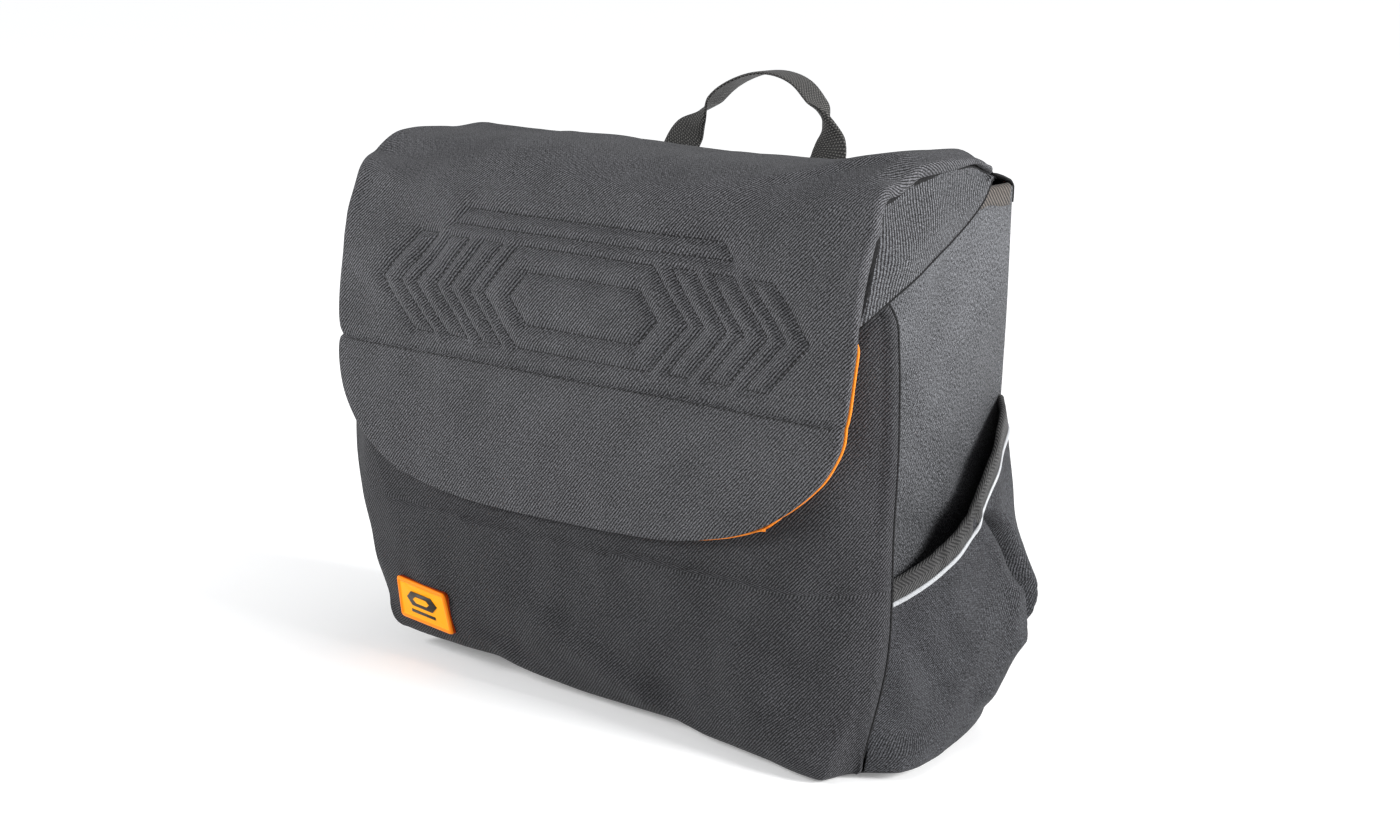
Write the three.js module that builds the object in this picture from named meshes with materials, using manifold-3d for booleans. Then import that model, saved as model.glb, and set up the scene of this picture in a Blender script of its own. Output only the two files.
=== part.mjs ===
// Soft rear-carrier bag with a padded wrap-over flap, side pockets, a webbing
// grab handle and clip-on rack hardware on a stiffened back.
// Millimetres, +Z up. The bag stands on its base at z = 0, its front faces -Y,
// its stiffened back faces +Y, and the origin is on the base, midway across X.
// Left is -X and right is +X.
import * as THREE from "three";
import Module from "manifold-3d";
import { mergeVertices } from "three/addons/utils/BufferGeometryUtils.js";

// ---------------------------------------------------------------- dimensions
const WALL = 4; // fabric, foam and backing of a body panel
const GAP = 0.3; // clearance between sewn neighbours
const MITRE = 0.4; // clearance at a mitred corner seam
const BACK_Y = 71; // outer face of the stiffened back
const BACK_TOP = 329; // top edge of the back panel
const FRONT_TOP = 300; // top edge of the front panel
const BODY_LOW = WALL + MITRE; // lower edge of the upright panels
const FRONT_BULGE = 18; // how far the filled front stands proud of its side seams
const SIDE_BULGE = 3; // the same for the side gussets

const SIDES = [["left", -1], ["right", 1]];

// -------------------------------------------------------------------- colours
const BLACK_FABRIC = { color: 0x2a2b2d, roughness: 0.85, metalness: 0 };
const DARK_FABRIC = { color: 0x222326, roughness: 0.9, metalness: 0 };
const ORANGE_FABRIC = { color: 0xff7a12, roughness: 0.75, metalness: 0 };
const WEBBING = { color: 0x1b1a19, roughness: 0.7, metalness: 0 };
const TAPE = { color: 0x3a3733, roughness: 0.75, metalness: 0 };
const REFLECTIVE = { color: 0xb9bcc0, roughness: 0.35, metalness: 0.2 };
const FOAM = { color: 0x3c3c3e, roughness: 0.95, metalness: 0 };
const LABEL_RUBBER = { color: 0xff9a10, roughness: 0.5, metalness: 0 };
const BOARD = { color: 0x1d1e20, roughness: 0.6, metalness: 0 };
const NYLON = { color: 0x17181a, roughness: 0.5, metalness: 0 };
const ALUMINIUM = { color: 0x3a3c3f, roughness: 0.35, metalness: 0.9 };
const STEEL = { color: 0x8d9095, roughness: 0.3, metalness: 1 };

// ------------------------------------------------------------ number helpers
const { clamp, lerp } = THREE.MathUtils;
const vec = (x, y, z) => new THREE.Vector3(x, y, z);

// n equal steps from 0 to 1, both ends included.
const steps = (n) => Array.from({ length: n + 1 }, (_, i) => i / n);

// A half wave: 0 at either end of 0..1 and 1 in the middle.
const swell = (t) => Math.sin(Math.PI * clamp(t, 0, 1));

// Linear interpolation through [[key, value], ...], held level past the ends.
function through(table, key) {
  if (key <= table[0][0]) return table[0][1];
  for (let i = 1; i < table.length; i++) {
    if (key <= table[i][0]) {
      const [keyA, valueA] = table[i - 1];
      const [keyB, valueB] = table[i];
      return valueA + ((valueB - valueA) * (key - keyA)) / (keyB - keyA);
    }
  }
  return table[table.length - 1][1];
}

// ---------------------------------------------------------- geometry helpers
const wasm = await Module();
wasm.setup();
const group = new THREE.Group();

function add(name, geometry, look) {
  const mesh = new THREE.Mesh(geometry, new THREE.MeshStandardMaterial(look));
  mesh.name = name;
  group.add(mesh);
}

// A closed body from an indexed vertex list, turned to face out.
function closed(points, faces) {
  let volume = 0;
  for (const [a, b, c] of faces) {
    volume += points[a].clone().cross(points[b]).dot(points[c]);
  }
  const geometry = new THREE.BufferGeometry();
  geometry.setAttribute(
    "position",
    new THREE.Float32BufferAttribute(points.flatMap((p) => [p.x, p.y, p.z]), 3),
  );
  geometry.setIndex(faces.flatMap(([a, b, c]) => (volume > 0 ? [a, b, c] : [a, c, b])));
  return geometry;
}

// A panel between two skins, each a function (u, v) => [x, y, z] that is
// sampled at every pair from the lists us and vs.
function slab(us, vs, outer, inner) {
  const nu = us.length;
  const nv = vs.length;
  const points = [];
  const faces = [];
  for (const skin of [outer, inner]) {
    for (const v of vs) {
      for (const u of us) points.push(vec(...skin(u, v)));
    }
  }
  const id = (skin, i, j) => skin * nu * nv + j * nu + i;
  const quad = (a, b, c, d) => faces.push([a, b, c], [a, c, d]);
  for (let j = 0; j < nv - 1; j++) {
    for (let i = 0; i < nu - 1; i++) {
      quad(id(0, i, j), id(0, i + 1, j), id(0, i + 1, j + 1), id(0, i, j + 1));
      // the inner skin faces the other way, split on the same diagonal
      quad(id(1, i, j), id(1, i, j + 1), id(1, i + 1, j + 1), id(1, i + 1, j));
    }
  }
  const endU = nu - 1;
  const endV = nv - 1;
  for (let i = 0; i < endU; i++) {
    quad(id(0, i + 1, 0), id(0, i, 0), id(1, i, 0), id(1, i + 1, 0));
    quad(id(0, i, endV), id(0, i + 1, endV), id(1, i + 1, endV), id(1, i, endV));
  }
  for (let j = 0; j < endV; j++) {
    quad(id(0, 0, j), id(0, 0, j + 1), id(1, 0, j + 1), id(1, 0, j));
    quad(id(0, endU, j + 1), id(0, endU, j), id(1, endU, j), id(1, endU, j + 1));
  }
  return closed(points, faces);
}

// A box section swept through stations of [centre, across, thick], where the
// two vectors are its half width and half thickness.
function strip(stations) {
  const points = [];
  const faces = [];
  for (const [centre, across, thick] of stations) {
    for (const [a, b] of [[1, 1], [-1, 1], [-1, -1], [1, -1]]) {
      points.push(centre.clone().addScaledVector(across, a).addScaledVector(thick, b));
    }
  }
  for (let k = 0; k < stations.length - 1; k++) {
    for (let m = 0; m < 4; m++) {
      const a = 4 * k + m;
      const b = 4 * k + ((m + 1) % 4);
      faces.push([a, b, b + 4], [a, b + 4, a + 4]);
    }
  }
  const end = 4 * (stations.length - 1);
  faces.push([0, 2, 1], [0, 3, 2]);
  faces.push([end, end + 1, end + 2], [end, end + 2, end + 3]);
  return closed(points, faces);
}

// Unit vector from the neighbour before item i of a path to the one after it.
function directionAt(path, i) {
  const before = path[Math.max(0, i - 1)];
  const after = path[Math.min(path.length - 1, i + 1)];
  return after.clone().sub(before).normalize();
}

function box(x0, x1, y0, y1, z0, z1) {
  const geometry = new THREE.BoxGeometry(x1 - x0, y1 - y0, z1 - z0);
  geometry.translate((x0 + x1) / 2, (y0 + y1) / 2, (z0 + z1) / 2);
  return geometry;
}

// A cylinder between two points.
function rod(start, end, radius, sides) {
  const from = vec(...start);
  const to = vec(...end);
  const way = to.clone().sub(from);
  const geometry = new THREE.CylinderGeometry(radius, radius, way.length(), sides);
  geometry.applyQuaternion(
    new THREE.Quaternion().setFromUnitVectors(vec(0, 1, 0), way.normalize()),
  );
  const middle = from.add(to).multiplyScalar(0.5);
  geometry.translate(middle.x, middle.y, middle.z);
  return geometry;
}

const rodAlongY = (x, z, y0, y1, radius, sides) => rod([x, y0, z], [x, y1, z], radius, sides);

// Positions only, with vertices closer than the tolerance merged.
function welded(geometry, tolerance) {
  const bare = geometry.clone();
  bare.deleteAttribute("normal");
  bare.deleteAttribute("uv");
  return mergeVertices(bare, tolerance);
}

function solid(geometry) {
  const mesh = welded(geometry, 1e-4);
  return new wasm.Manifold(
    new wasm.Mesh({
      numProp: 3,
      vertProperties: new Float32Array(mesh.attributes.position.array),
      triVerts: new Uint32Array(mesh.index.array),
    }),
  );
}

function geometryOf(manifold) {
  const mesh = manifold.getMesh();
  const positions = new Float32Array(mesh.numVert * 3);
  for (let i = 0; i < mesh.numVert; i++) {
    const start = i * mesh.numProp;
    positions.set(mesh.vertProperties.subarray(start, start + 3), i * 3);
  }
  const geometry = new THREE.BufferGeometry();
  geometry.setAttribute("position", new THREE.BufferAttribute(positions, 3));
  geometry.setIndex(new THREE.BufferAttribute(mesh.triVerts, 1));
  return geometry;
}

function cut(geometry, ...tools) {
  return geometryOf(tools.reduce((body, tool) => body.subtract(solid(tool)), solid(geometry)));
}

function join(a, b) {
  return geometryOf(solid(a).add(solid(b)));
}

// A body turned about +Y from [radius, height] points that start and end on
// the axis. Triangles that collapse on the axis are dropped.
function turned(profile, sides) {
  const outline = profile.map(([radius, height]) => new THREE.Vector2(radius, height));
  const mesh = welded(new THREE.LatheGeometry(outline, sides), 1e-3);
  const position = mesh.attributes.position;
  const points = [];
  const faces = [];
  for (let i = 0; i < position.count; i++) {
    points.push(vec().fromBufferAttribute(position, i));
  }
  for (let i = 0; i < mesh.index.count; i += 3) {
    const face = [0, 1, 2].map((k) => mesh.index.getX(i + k));
    if (new Set(face).size === 3) faces.push(face);
  }
  return closed(points, faces);
}

// A shape drawn in (y, z) and extruded along X.
function alongX(shape, x0, x1) {
  const geometry = new THREE.ExtrudeGeometry(shape, { depth: x1 - x0, bevelEnabled: false });
  geometry.applyMatrix4(
    new THREE.Matrix4().makeBasis(vec(0, 1, 0), vec(0, 0, 1), vec(1, 0, 0)),
  );
  geometry.translate(x0, 0, 0);
  return geometry;
}

// A shape drawn in (x, z) and extruded along Y.
function alongY(shape, y0, y1, curveSegments) {
  const geometry = new THREE.ExtrudeGeometry(shape, {
    depth: y1 - y0,
    bevelEnabled: false,
    curveSegments,
  });
  // depth runs to -Y, which keeps the basis right-handed
  geometry.applyMatrix4(
    new THREE.Matrix4().makeBasis(vec(1, 0, 0), vec(0, 0, 1), vec(0, -1, 0)),
  );
  geometry.translate(0, y1, 0);
  return geometry;
}

// A closed outline whose points are measured from (originA, originB).
function polygon(points, originA = 0, originB = 0) {
  return new THREE.Shape(
    points.map(([a, b]) => new THREE.Vector2(originA + a, originB + b)),
  );
}

function roundedRect(a0, a1, b0, b1, r) {
  const shape = new THREE.Shape();
  shape.moveTo(a0 + r, b0);
  shape.lineTo(a1 - r, b0).quadraticCurveTo(a1, b0, a1, b0 + r);
  shape.lineTo(a1, b1 - r).quadraticCurveTo(a1, b1, a1 - r, b1);
  shape.lineTo(a0 + r, b1).quadraticCurveTo(a0, b1, a0, b1 - r);
  shape.lineTo(a0, b0 + r).quadraticCurveTo(a0, b0, a0 + r, b0);
  return shape;
}

// A rounded plate lying flat between z0 and z1.
function flatPlate(x0, x1, y0, y1, radius, z0, z1) {
  const geometry = new THREE.ExtrudeGeometry(roundedRect(x0, x1, y0, y1, radius), {
    depth: z1 - z0,
    bevelEnabled: false,
    curveSegments: 4,
  });
  geometry.translate(0, 0, z0);
  return geometry;
}

// An indexed body reflected in X, its triangles turned back to face out.
function mirrored(geometry) {
  const copy = geometry.clone();
  copy.scale(-1, 1, 1);
  const index = copy.index;
  for (let i = 0; i < index.count; i += 3) {
    const second = index.getX(i + 1);
    index.setX(i + 1, index.getX(i + 2));
    index.setX(i + 2, second);
  }
  return copy;
}

// ------------------------------------------------------------- body surfaces
// [z, half width of the body]
const HALF_WIDTHS = [[0, 174], [60, 184], [130, 191], [200, 195], [335, 195]];
// [z, y of the front side seams]
const FRONT_SEAM = [[0, -42], [15, -46], [45, -50], [110, -53], [200, -59], [300, -66]];
// [y, z] of the side gusset's bound edge: low at the front, rising to the back
const RIM_LINE = [[-65.6, 300], [-40, 300.5], [-12, 303], [15, 309], [43, 319], [70.6, 327]];

const halfW = (z) => through(HALF_WIDTHS, z);
const frontY = (z) => through(FRONT_SEAM, z);
const rimZ = (y) => through(RIM_LINE, y);

// y of the filled front.
function frontSkin(x, z) {
  const across = 1 - (x / halfW(z)) ** 2;
  const up = Math.sqrt(swell((z - BODY_LOW) / (FRONT_TOP - BODY_LOW)));
  return frontY(z) - FRONT_BULGE * across * up;
}

// x of the filled right side.
function sideSkin(y, z) {
  const across = swell((y - frontY(z)) / (BACK_Y - frontY(z)));
  const up = swell((z - BODY_LOW) / (rimZ(y) - BODY_LOW));
  return halfW(z) + SIDE_BULGE * across * up;
}

// --------------------------------------------------------------- body panels
const PANEL_ROWS = [0, 0.035, 0.14, 0.36, 0.6, 0.8, 1];

function frontPanel() {
  const outer = (u, v) => {
    const z = lerp(BODY_LOW, FRONT_TOP, v);
    const x = (2 * u - 1) * (halfW(z) - MITRE);
    return [x, frontSkin(x, z), z];
  };
  const inner = (u, v) => {
    const [, y, z] = outer(u, v);
    return [(2 * u - 1) * (halfW(z) - WALL - MITRE), y + WALL, z];
  };
  return slab(steps(6), PANEL_ROWS, outer, inner);
}
add("front_panel", frontPanel(), BLACK_FABRIC);

function sideGusset() {
  const rimFrontY = RIM_LINE[0][0];
  const rimBackY = RIM_LINE[RIM_LINE.length - 1][0];
  const outer = (u, v) => {
    const y = lerp(frontY(lerp(BODY_LOW, FRONT_TOP, v)) + MITRE, BACK_Y - MITRE, u);
    const z = lerp(BODY_LOW, rimZ(y), v);
    return [sideSkin(y, z), y, z];
  };
  const inner = (u, v) => {
    const [x, , z] = outer(u, v);
    return [x - WALL, lerp(frontY(z) + WALL + MITRE, BACK_Y - WALL - MITRE, u), z];
  };
  const columns = RIM_LINE.map(([y]) => (y - rimFrontY) / (rimBackY - rimFrontY));
  return slab(columns, PANEL_ROWS, outer, inner);
}
const gusset = sideGusset();
add("side_gusset_right", gusset, BLACK_FABRIC);
add("side_gusset_left", mirrored(gusset), BLACK_FABRIC);

// Screws hold each rail through the back panel and the board to a plate inside.
const RAIL_Z = 291; // middle of the upper rail
const LOWER_RAIL_Z = 70;
const RAILS = [
  { name: "upper", z: RAIL_Z, half: 165, plateHalf: 156, screws: [-145, -50, 50, 145] },
  { name: "lower", z: LOWER_RAIL_Z, half: 100, plateHalf: 92, screws: [-80, 80] },
];
const SCREW_R = 2;
const PANEL_HOLE_R = SCREW_R + 0.6;
const METAL_HOLE_R = SCREW_R + 0.4;

const screwHoles = ({ z, screws }, radius) =>
  screws.map((x) => rodAlongY(x, z, BACK_Y - 20, BACK_Y + 15, radius, 10));
const panelHoles = RAILS.flatMap((rail) => screwHoles(rail, PANEL_HOLE_R));

function backPanel() {
  const skin = (y, inset) => (u, v) => {
    const z = lerp(BODY_LOW, BACK_TOP, v);
    return [(2 * u - 1) * (halfW(z) - inset), y, z];
  };
  const outer = skin(BACK_Y, MITRE);
  const inner = skin(BACK_Y - WALL, WALL + MITRE);
  return cut(slab([0, 1], [0, 0.15, 0.38, 0.6, 1], outer, inner), ...panelHoles);
}
add("back_panel", backPanel(), DARK_FABRIC);

add("bottom_panel", flatPlate(-172, 172, -40, BACK_Y - 0.5, 10, 0, WALL), DARK_FABRIC);
add("base_board", flatPlate(-166, 166, -34, BACK_Y - WALL - 1, 8, 4.6, 7), BOARD);

const BOARD_OUTLINE = roundedRect(-164, 164, 9, 322, 12);
const stiffener = alongY(BOARD_OUTLINE, BACK_Y - 7, BACK_Y - WALL - MITRE, 4);
add("back_stiffener_board", cut(stiffener, ...panelHoles), BOARD);

// --------------------------------------------------------------- inner lining
// An open tub that hides the boards and the backing plates.
const TUB_SHEET = 1.2;
const TUB_LOW = 7.6;
const TUB_TOP = 296;
const TUB_INSET = 1.6; // from the inner face of the sides and front
const TUB_BACK_Y = BACK_Y - 11.4;
const TUB_CORNER_R = 10;

// A solid block that follows the body, with chamfer-like rounded corners.
function tubBlock(z0, z1, inset, yBack) {
  const r = TUB_CORNER_R;
  const heights = [z0, 45, 130, 200, z1];
  const points = [];
  const faces = [];
  for (const z of heights) {
    const x = halfW(z) - WALL - inset - r;
    const yFront = frontY(z) + WALL + inset + r;
    // [corner centre x, y, first angle in degrees]
    const corners = [[x, yBack - r, 0], [-x, yBack - r, 90], [-x, yFront, 180], [x, yFront, 270]];
    for (const [cx, cy, firstAngle] of corners) {
      for (let k = 0; k <= 2; k++) {
        const angle = ((firstAngle + 45 * k) * Math.PI) / 180;
        points.push(vec(cx + r * Math.cos(angle), cy + r * Math.sin(angle), z));
      }
    }
  }
  const n = points.length / heights.length;
  for (let j = 0; j < heights.length - 1; j++) {
    for (let i = 0; i < n; i++) {
      const a = j * n + i;
      const b = j * n + ((i + 1) % n);
      faces.push([a, b, b + n], [a, b + n, a + n]);
    }
  }
  const top = (heights.length - 1) * n;
  for (let i = 1; i < n - 1; i++) {
    faces.push([0, i + 1, i], [top, top + i, top + i + 1]);
  }
  return closed(points, faces);
}

function innerLining() {
  const outside = tubBlock(TUB_LOW, TUB_TOP, TUB_INSET, TUB_BACK_Y);
  // the hollow runs out above the tub, leaving it open
  const hollow = tubBlock(
    TUB_LOW + TUB_SHEET, TUB_TOP + 14, TUB_INSET + TUB_SHEET, TUB_BACK_Y - TUB_SHEET,
  );
  return cut(outside, hollow);
}
add("inner_lining", innerLining(), ORANGE_FABRIC);

// ------------------------------------------------------------- edge bindings
// Tape over the edge of the opening: one length round the sides and front,
// and another along the higher back.
const TAPE_RISE = 2;
const RIM_TAPE_HALF_W = 2.8;
const RIM_TAPE_LIFT = GAP + 0.9; // underside of the tape above the rim line

function rimBinding() {
  const topHalfW = halfW(FRONT_TOP);
  const topFrontY = frontY(FRONT_TOP);
  const side = [66.4, 43, 15, -12, -40, -62].map((y) => [halfW(rimZ(y)) - 1.6, y, rimZ(y)]);
  side.push([topHalfW - 2.6, topFrontY + 1.6, FRONT_TOP]); // the front corner
  const front = [];
  for (let k = 1; k < 10; k++) {
    front.push([(topHalfW - 6) * (1 - k / 5), topFrontY + 1.4, FRONT_TOP]);
  }
  const otherSide = side.map(([x, y, z]) => [-x, y, z]).reverse();
  const path = [...side, ...front, ...otherSide];
  const flatPath = path.map(([x, y]) => vec(x, y, 0));
  return strip(path.map(([x, y, z], i) => {
    const way = directionAt(flatPath, i);
    return [
      vec(x, y, z + RIM_TAPE_LIFT + TAPE_RISE / 2),
      vec(-way.y, way.x, 0).multiplyScalar(RIM_TAPE_HALF_W),
      vec(0, 0, TAPE_RISE / 2),
    ];
  }));
}
add("rim_binding", rimBinding(), TAPE);

const BACK_TAPE_Z = BACK_TOP + GAP;
add("back_top_binding",
  box(-187, 187, BACK_Y - 4.6, BACK_Y + 0.4, BACK_TAPE_Z, BACK_TAPE_Z + TAPE_RISE), TAPE);

// --------------------------------------------------------------- label patch
// A slanted patch on the lower left of the front, following its surface.
const LABEL = { x: -159, z: 23, width: 40, height: 28, slant: 5 };
const labelSkin = (proud) => (u, v) => {
  const x = LABEL.x + LABEL.width * u - LABEL.slant * v;
  const z = LABEL.z + LABEL.height * v;
  return [x, frontSkin(x, z) - proud, z];
};
add("label_patch", slab(steps(3), steps(3), labelSkin(2.9), labelSkin(0.6)), LABEL_RUBBER);

// ---------------------------------------------------------------------- flap
const SEAM_Z = 208; // stitched seam between the flap's two sections
const SEAM_HALF_GAP = 0.4;
const FLAP_LOW_Z = 118; // lowest point of the flap's curved hem
const FLAP_FRONT_Y = -84; // outer face of the lower section
const SHELL = 1.6; // flap outer fabric
const PADDING = 2.8; // flap foam
const LINING = 1.2; // flap lining
// depth of each layer's outer face below the flap's outer face
const PADDING_DEPTH = SHELL + GAP;
const LINING_DEPTH = PADDING_DEPTH + PADDING + GAP;

const FLAP_LAYERS = [
  { part: "panel", depth: 0, thick: SHELL, columns: [0, 0.5, 1],
    upperInset: 0, lowerInset: 0, look: BLACK_FABRIC },
  { part: "padding", depth: PADDING_DEPTH, thick: PADDING, columns: [0, 1],
    upperInset: 7, lowerInset: 7, look: FOAM },
  { part: "lining", depth: LINING_DEPTH, thick: LINING, columns: [0, 1],
    upperInset: 6, lowerInset: 1.5, look: ORANGE_FABRIC },
];

// [y, z] of the outer face, from the rear seam over the opening and down the front
const FLAP_PROFILE = [
  [67, 339], [44, 344], [0, 348.5], [-38, 345.5], [-57, 337.5], [-71, 321],
  [-79.5, 297], [-83, 258], [FLAP_FRONT_Y, SEAM_Z + SEAM_HALF_GAP],
];
// [z, half width of the upper section]
const FLAP_HALF_WIDTHS = [[SEAM_Z, 188], [258, 197.6], [300, 200.5]];

// The flap profile moved inward by depth.
function profileAt(depth) {
  const last = FLAP_PROFILE.length - 1;
  return FLAP_PROFILE.map(([y, z], i) => {
    if (i === 0) return [y, z - depth];
    if (i === last) return [y + depth, z];
    const [ya, za] = FLAP_PROFILE[i - 1];
    const [yb, zb] = FLAP_PROFILE[i + 1];
    const length = Math.hypot(yb - ya, zb - za);
    return [y - (depth * (zb - za)) / length, z + (depth * (yb - ya)) / length];
  });
}

// A skin whose second argument is a row of the profile.
function flapSkin(depth, inset) {
  const profile = profileAt(depth);
  return (u, row) => {
    const [y, z] = profile[row];
    return [(2 * u - 1) * (through(FLAP_HALF_WIDTHS, z) - inset), y, z];
  };
}

for (const { part, depth, thick, columns, upperInset, look } of FLAP_LAYERS) {
  const outer = flapSkin(depth, upperInset);
  const inner = flapSkin(depth + thick, upperInset);
  add(`flap_upper_${part}`, slab(columns, [...FLAP_PROFILE.keys()], outer, inner), look);
}

// A side wing closes each corner of the flap, hemmed on the slant.
const WING_THICK = 1.2;
// [y, z] of its top edge
const WING_TOP = [
  [-80.6, 260], [-77.6, 297], [-69.3, 319], [-55.8, 335], [-37.6, 343.4], [0, 346.4],
  [44, 341.9],
];
const WING_HEM = [[-81, 256], [44, 338]]; // [y, z]
const WING_INNER_X = [[-81, 195.9], [-47, 199.3]]; // [y, x]
const wingSkin = (proud) => ([y, top], v) => [
  through(WING_INNER_X, y) + proud, y, lerp(through(WING_HEM, y), top, v),
];
const wing = slab(WING_TOP, [0, 1], wingSkin(WING_THICK), wingSkin(0));
add("flap_wing_right", wing, BLACK_FABRIC);
add("flap_wing_left", mirrored(wing), BLACK_FABRIC);

// The lower section: flat layers with a rounded hem, hanging from the seam.
// [x, z] of the right half of its edge, from the seam to the middle of the hem
const HEM = [
  [188, SEAM_Z - SEAM_HALF_GAP], [186, 190], [181, 172], [172, 156], [158, 144],
  [138, 134], [112, 126], [80, 121], [44, 118.7], [0, FLAP_LOW_Z],
];
function hemOutline(inset) {
  const right = HEM.map(([x, z], i) => [
    Math.max(0, x - inset),
    i === 0 ? z : Math.max(z, FLAP_LOW_Z + inset),
  ]);
  const left = right.map(([x, z]) => [-x, z]);
  return polygon([...left, ...right.slice(0, -1).reverse()]);
}
for (const { part, depth, thick, lowerInset, look } of FLAP_LAYERS) {
  const y = FLAP_FRONT_Y + depth;
  add(`flap_lower_${part}`, alongY(hemOutline(lowerInset), y, y + thick), look);
}

// Hook-and-loop closure: loop pads on the body, hook pads under the flap.
const PAD = { x: 70, halfW: 27, z0: 136, z1: 160, hookThick: 1.6 };
const HOOK_PAD_Y = FLAP_FRONT_Y + LINING_DEPTH + LINING + GAP;
for (const [side, sign] of SIDES) {
  const x0 = sign * PAD.x - PAD.halfW;
  const x1 = sign * PAD.x + PAD.halfW;
  const loopSkin = (proud) => (u, v) => {
    const x = lerp(x0, x1, u);
    const z = lerp(PAD.z0, PAD.z1, v);
    return [x, frontSkin(x, z) - proud, z];
  };
  add(`closure_loop_pad_${side}`,
    slab([0, 0.5, 1], [0, 1], loopSkin(1.5), loopSkin(0.5)), DARK_FABRIC);
  add(`closure_hook_pad_${side}`,
    box(x0, x1, HOOK_PAD_Y, HOOK_PAD_Y + PAD.hookThick, PAD.z0, PAD.z1), DARK_FABRIC);
}

// -------------------------------------------------------------- side pockets
const POCKET_Y0 = -48; // front seam of a pocket
const POCKET_Y1 = BACK_Y - 3; // back seam
const POCKET_LOW = 8;
const POCKET_BULGE = 31; // how far a filled side pocket stands proud
const MOUTH_FRONT_Z = 104; // pocket mouth at the front seam
const MOUTH_BACK_Z = 188; // pocket mouth at the back seam
const MOUTH_TAPE_H = 12; // binding on the mouth
const PIPING_H = 3.4; // reflective strip under it
const POCKET_ROWS = [0, 0.12, 0.3, 0.5, 0.75, 1];
// [fraction of the height, fraction of the full bulge]
const POCKET_FILL = [[0, 0], [0.12, 0.55], [0.3, 0.9], [0.5, 1], [0.75, 0.8], [1, 0.55]];

const mouthZ = (u) => lerp(MOUTH_FRONT_Z, MOUTH_BACK_Z, u);

// Fraction of the pocket's height at a distance below the mouth.
const belowMouth = (u, drop) => (mouthZ(u) - drop - POCKET_LOW) / (mouthZ(u) - POCKET_LOW);

// A point of the right pocket: u runs front to back, t from its foot to its mouth.
function pocketPoint(u, t, proud) {
  const y = lerp(POCKET_Y0, POCKET_Y1, u);
  const z = lerp(POCKET_LOW, mouthZ(u), t);
  const across = Math.pow(Math.sin(Math.PI * Math.pow(u, 1.36)), 0.6); // fullest near the back
  const bulge = 1 + POCKET_BULGE * across * through(POCKET_FILL, t);
  return [sideSkin(y, z) + bulge + proud, y, z];
}

// A band of the pocket; heightAt(u, v) gives its t.
function pocketBand(rows, thick, heightAt) {
  const skin = (proud) => (u, v) => pocketPoint(u, heightAt(u, v), proud);
  return slab(steps(8), rows, skin(thick), skin(0));
}

const PANEL_DROP = MOUTH_TAPE_H + PIPING_H + 2 * GAP;
const pocketPanel = pocketBand(POCKET_ROWS, 1.5, (u, v) => v * belowMouth(u, PANEL_DROP));
const pocketPiping = pocketBand([0, 1], 2.4,
  (u, v) => belowMouth(u, MOUTH_TAPE_H + GAP + PIPING_H * (1 - v)));
const pocketTape = pocketBand([0, 1], 2, (u, v) => belowMouth(u, MOUTH_TAPE_H * (1 - v)));

for (const [side, place] of [["right", (geometry) => geometry], ["left", mirrored]]) {
  add(`pocket_${side}_panel`, place(pocketPanel), BLACK_FABRIC);
  add(`pocket_${side}_reflective_piping`, place(pocketPiping), REFLECTIVE);
  add(`pocket_${side}_binding`, place(pocketTape), TAPE);
}

// -------------------------------------------------------------------- handle
const WEBBING_HALF_W = 12.5;
const WEBBING_HALF_THICK = 1.2;
const HANDLE_HALF_SPAN = 57; // middle of each handle end from the centre line
const HANDLE_RISE = 54; // grip height above the start of the arch
const HANDLE_Z = 331; // the handle's hinge line
const HANDLE_Y = BACK_Y + 1.7; // middle of the webbing on the back
const HANDLE_LEAN = 14; // how far the grip leans back

for (const [side, sign] of SIDES) {
  const x = sign * HANDLE_HALF_SPAN;
  add(`handle_end_${side}`, box(
    x - WEBBING_HALF_W, x + WEBBING_HALF_W,
    HANDLE_Y - WEBBING_HALF_THICK, HANDLE_Y + WEBBING_HALF_THICK,
    RAIL_Z + 16, HANDLE_Z - 1.8,
  ), WEBBING);
}

// The webbing leaves the back flat, turns a quarter and arches over.
// [distance from the centre line, rise, turn as a fraction of a quarter]
const HANDLE_STATIONS = [
  [HANDLE_HALF_SPAN, 0, 0], [56.5, 12, 0.08], [55, 22, 0.3], [50, 33, 0.75],
  [42, 43, 1], [28, 50.5, 1], [14, 53.4, 1], [0, HANDLE_RISE, 1],
];
function handleLoop() {
  // [side sign, ...station] from the left end over to the right
  const stations = [
    ...HANDLE_STATIONS.map((station) => [-1, ...station]),
    ...HANDLE_STATIONS.slice(0, -1).reverse().map((station) => [1, ...station]),
  ];
  const centres = stations.map(([sign, x, rise]) => {
    const lean = HANDLE_LEAN * Math.sin((Math.PI / 2) * (rise / HANDLE_RISE));
    return vec(sign * x, HANDLE_Y + lean, HANDLE_Z + 0.8 + rise);
  });
  return strip(stations.map(([sign, , , turn], i) => {
    const way = directionAt(centres, i);
    const angle = (turn * Math.PI) / 2;
    // the width turns from across the bag to front-to-back, square to the path
    const width = vec(sign * Math.cos(angle), -Math.sin(angle), 0);
    width.addScaledVector(way, -width.dot(way)).normalize();
    const thick = way.clone().cross(width).normalize();
    return [
      centres[i],
      width.multiplyScalar(WEBBING_HALF_W),
      thick.multiplyScalar(WEBBING_HALF_THICK),
    ];
  }));
}
add("handle_loop", handleLoop(), WEBBING);

// --------------------------------------------------- rails, plates and screws
// Dovetail section, [y from BACK_Y, z from the rail's middle]: 18 wide against
// the bag, 28 wide on its outer face.
const RAIL_SECTION = [[0.6, -9], [6.6, -14], [6.6, 14], [0.6, 9]];

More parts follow.
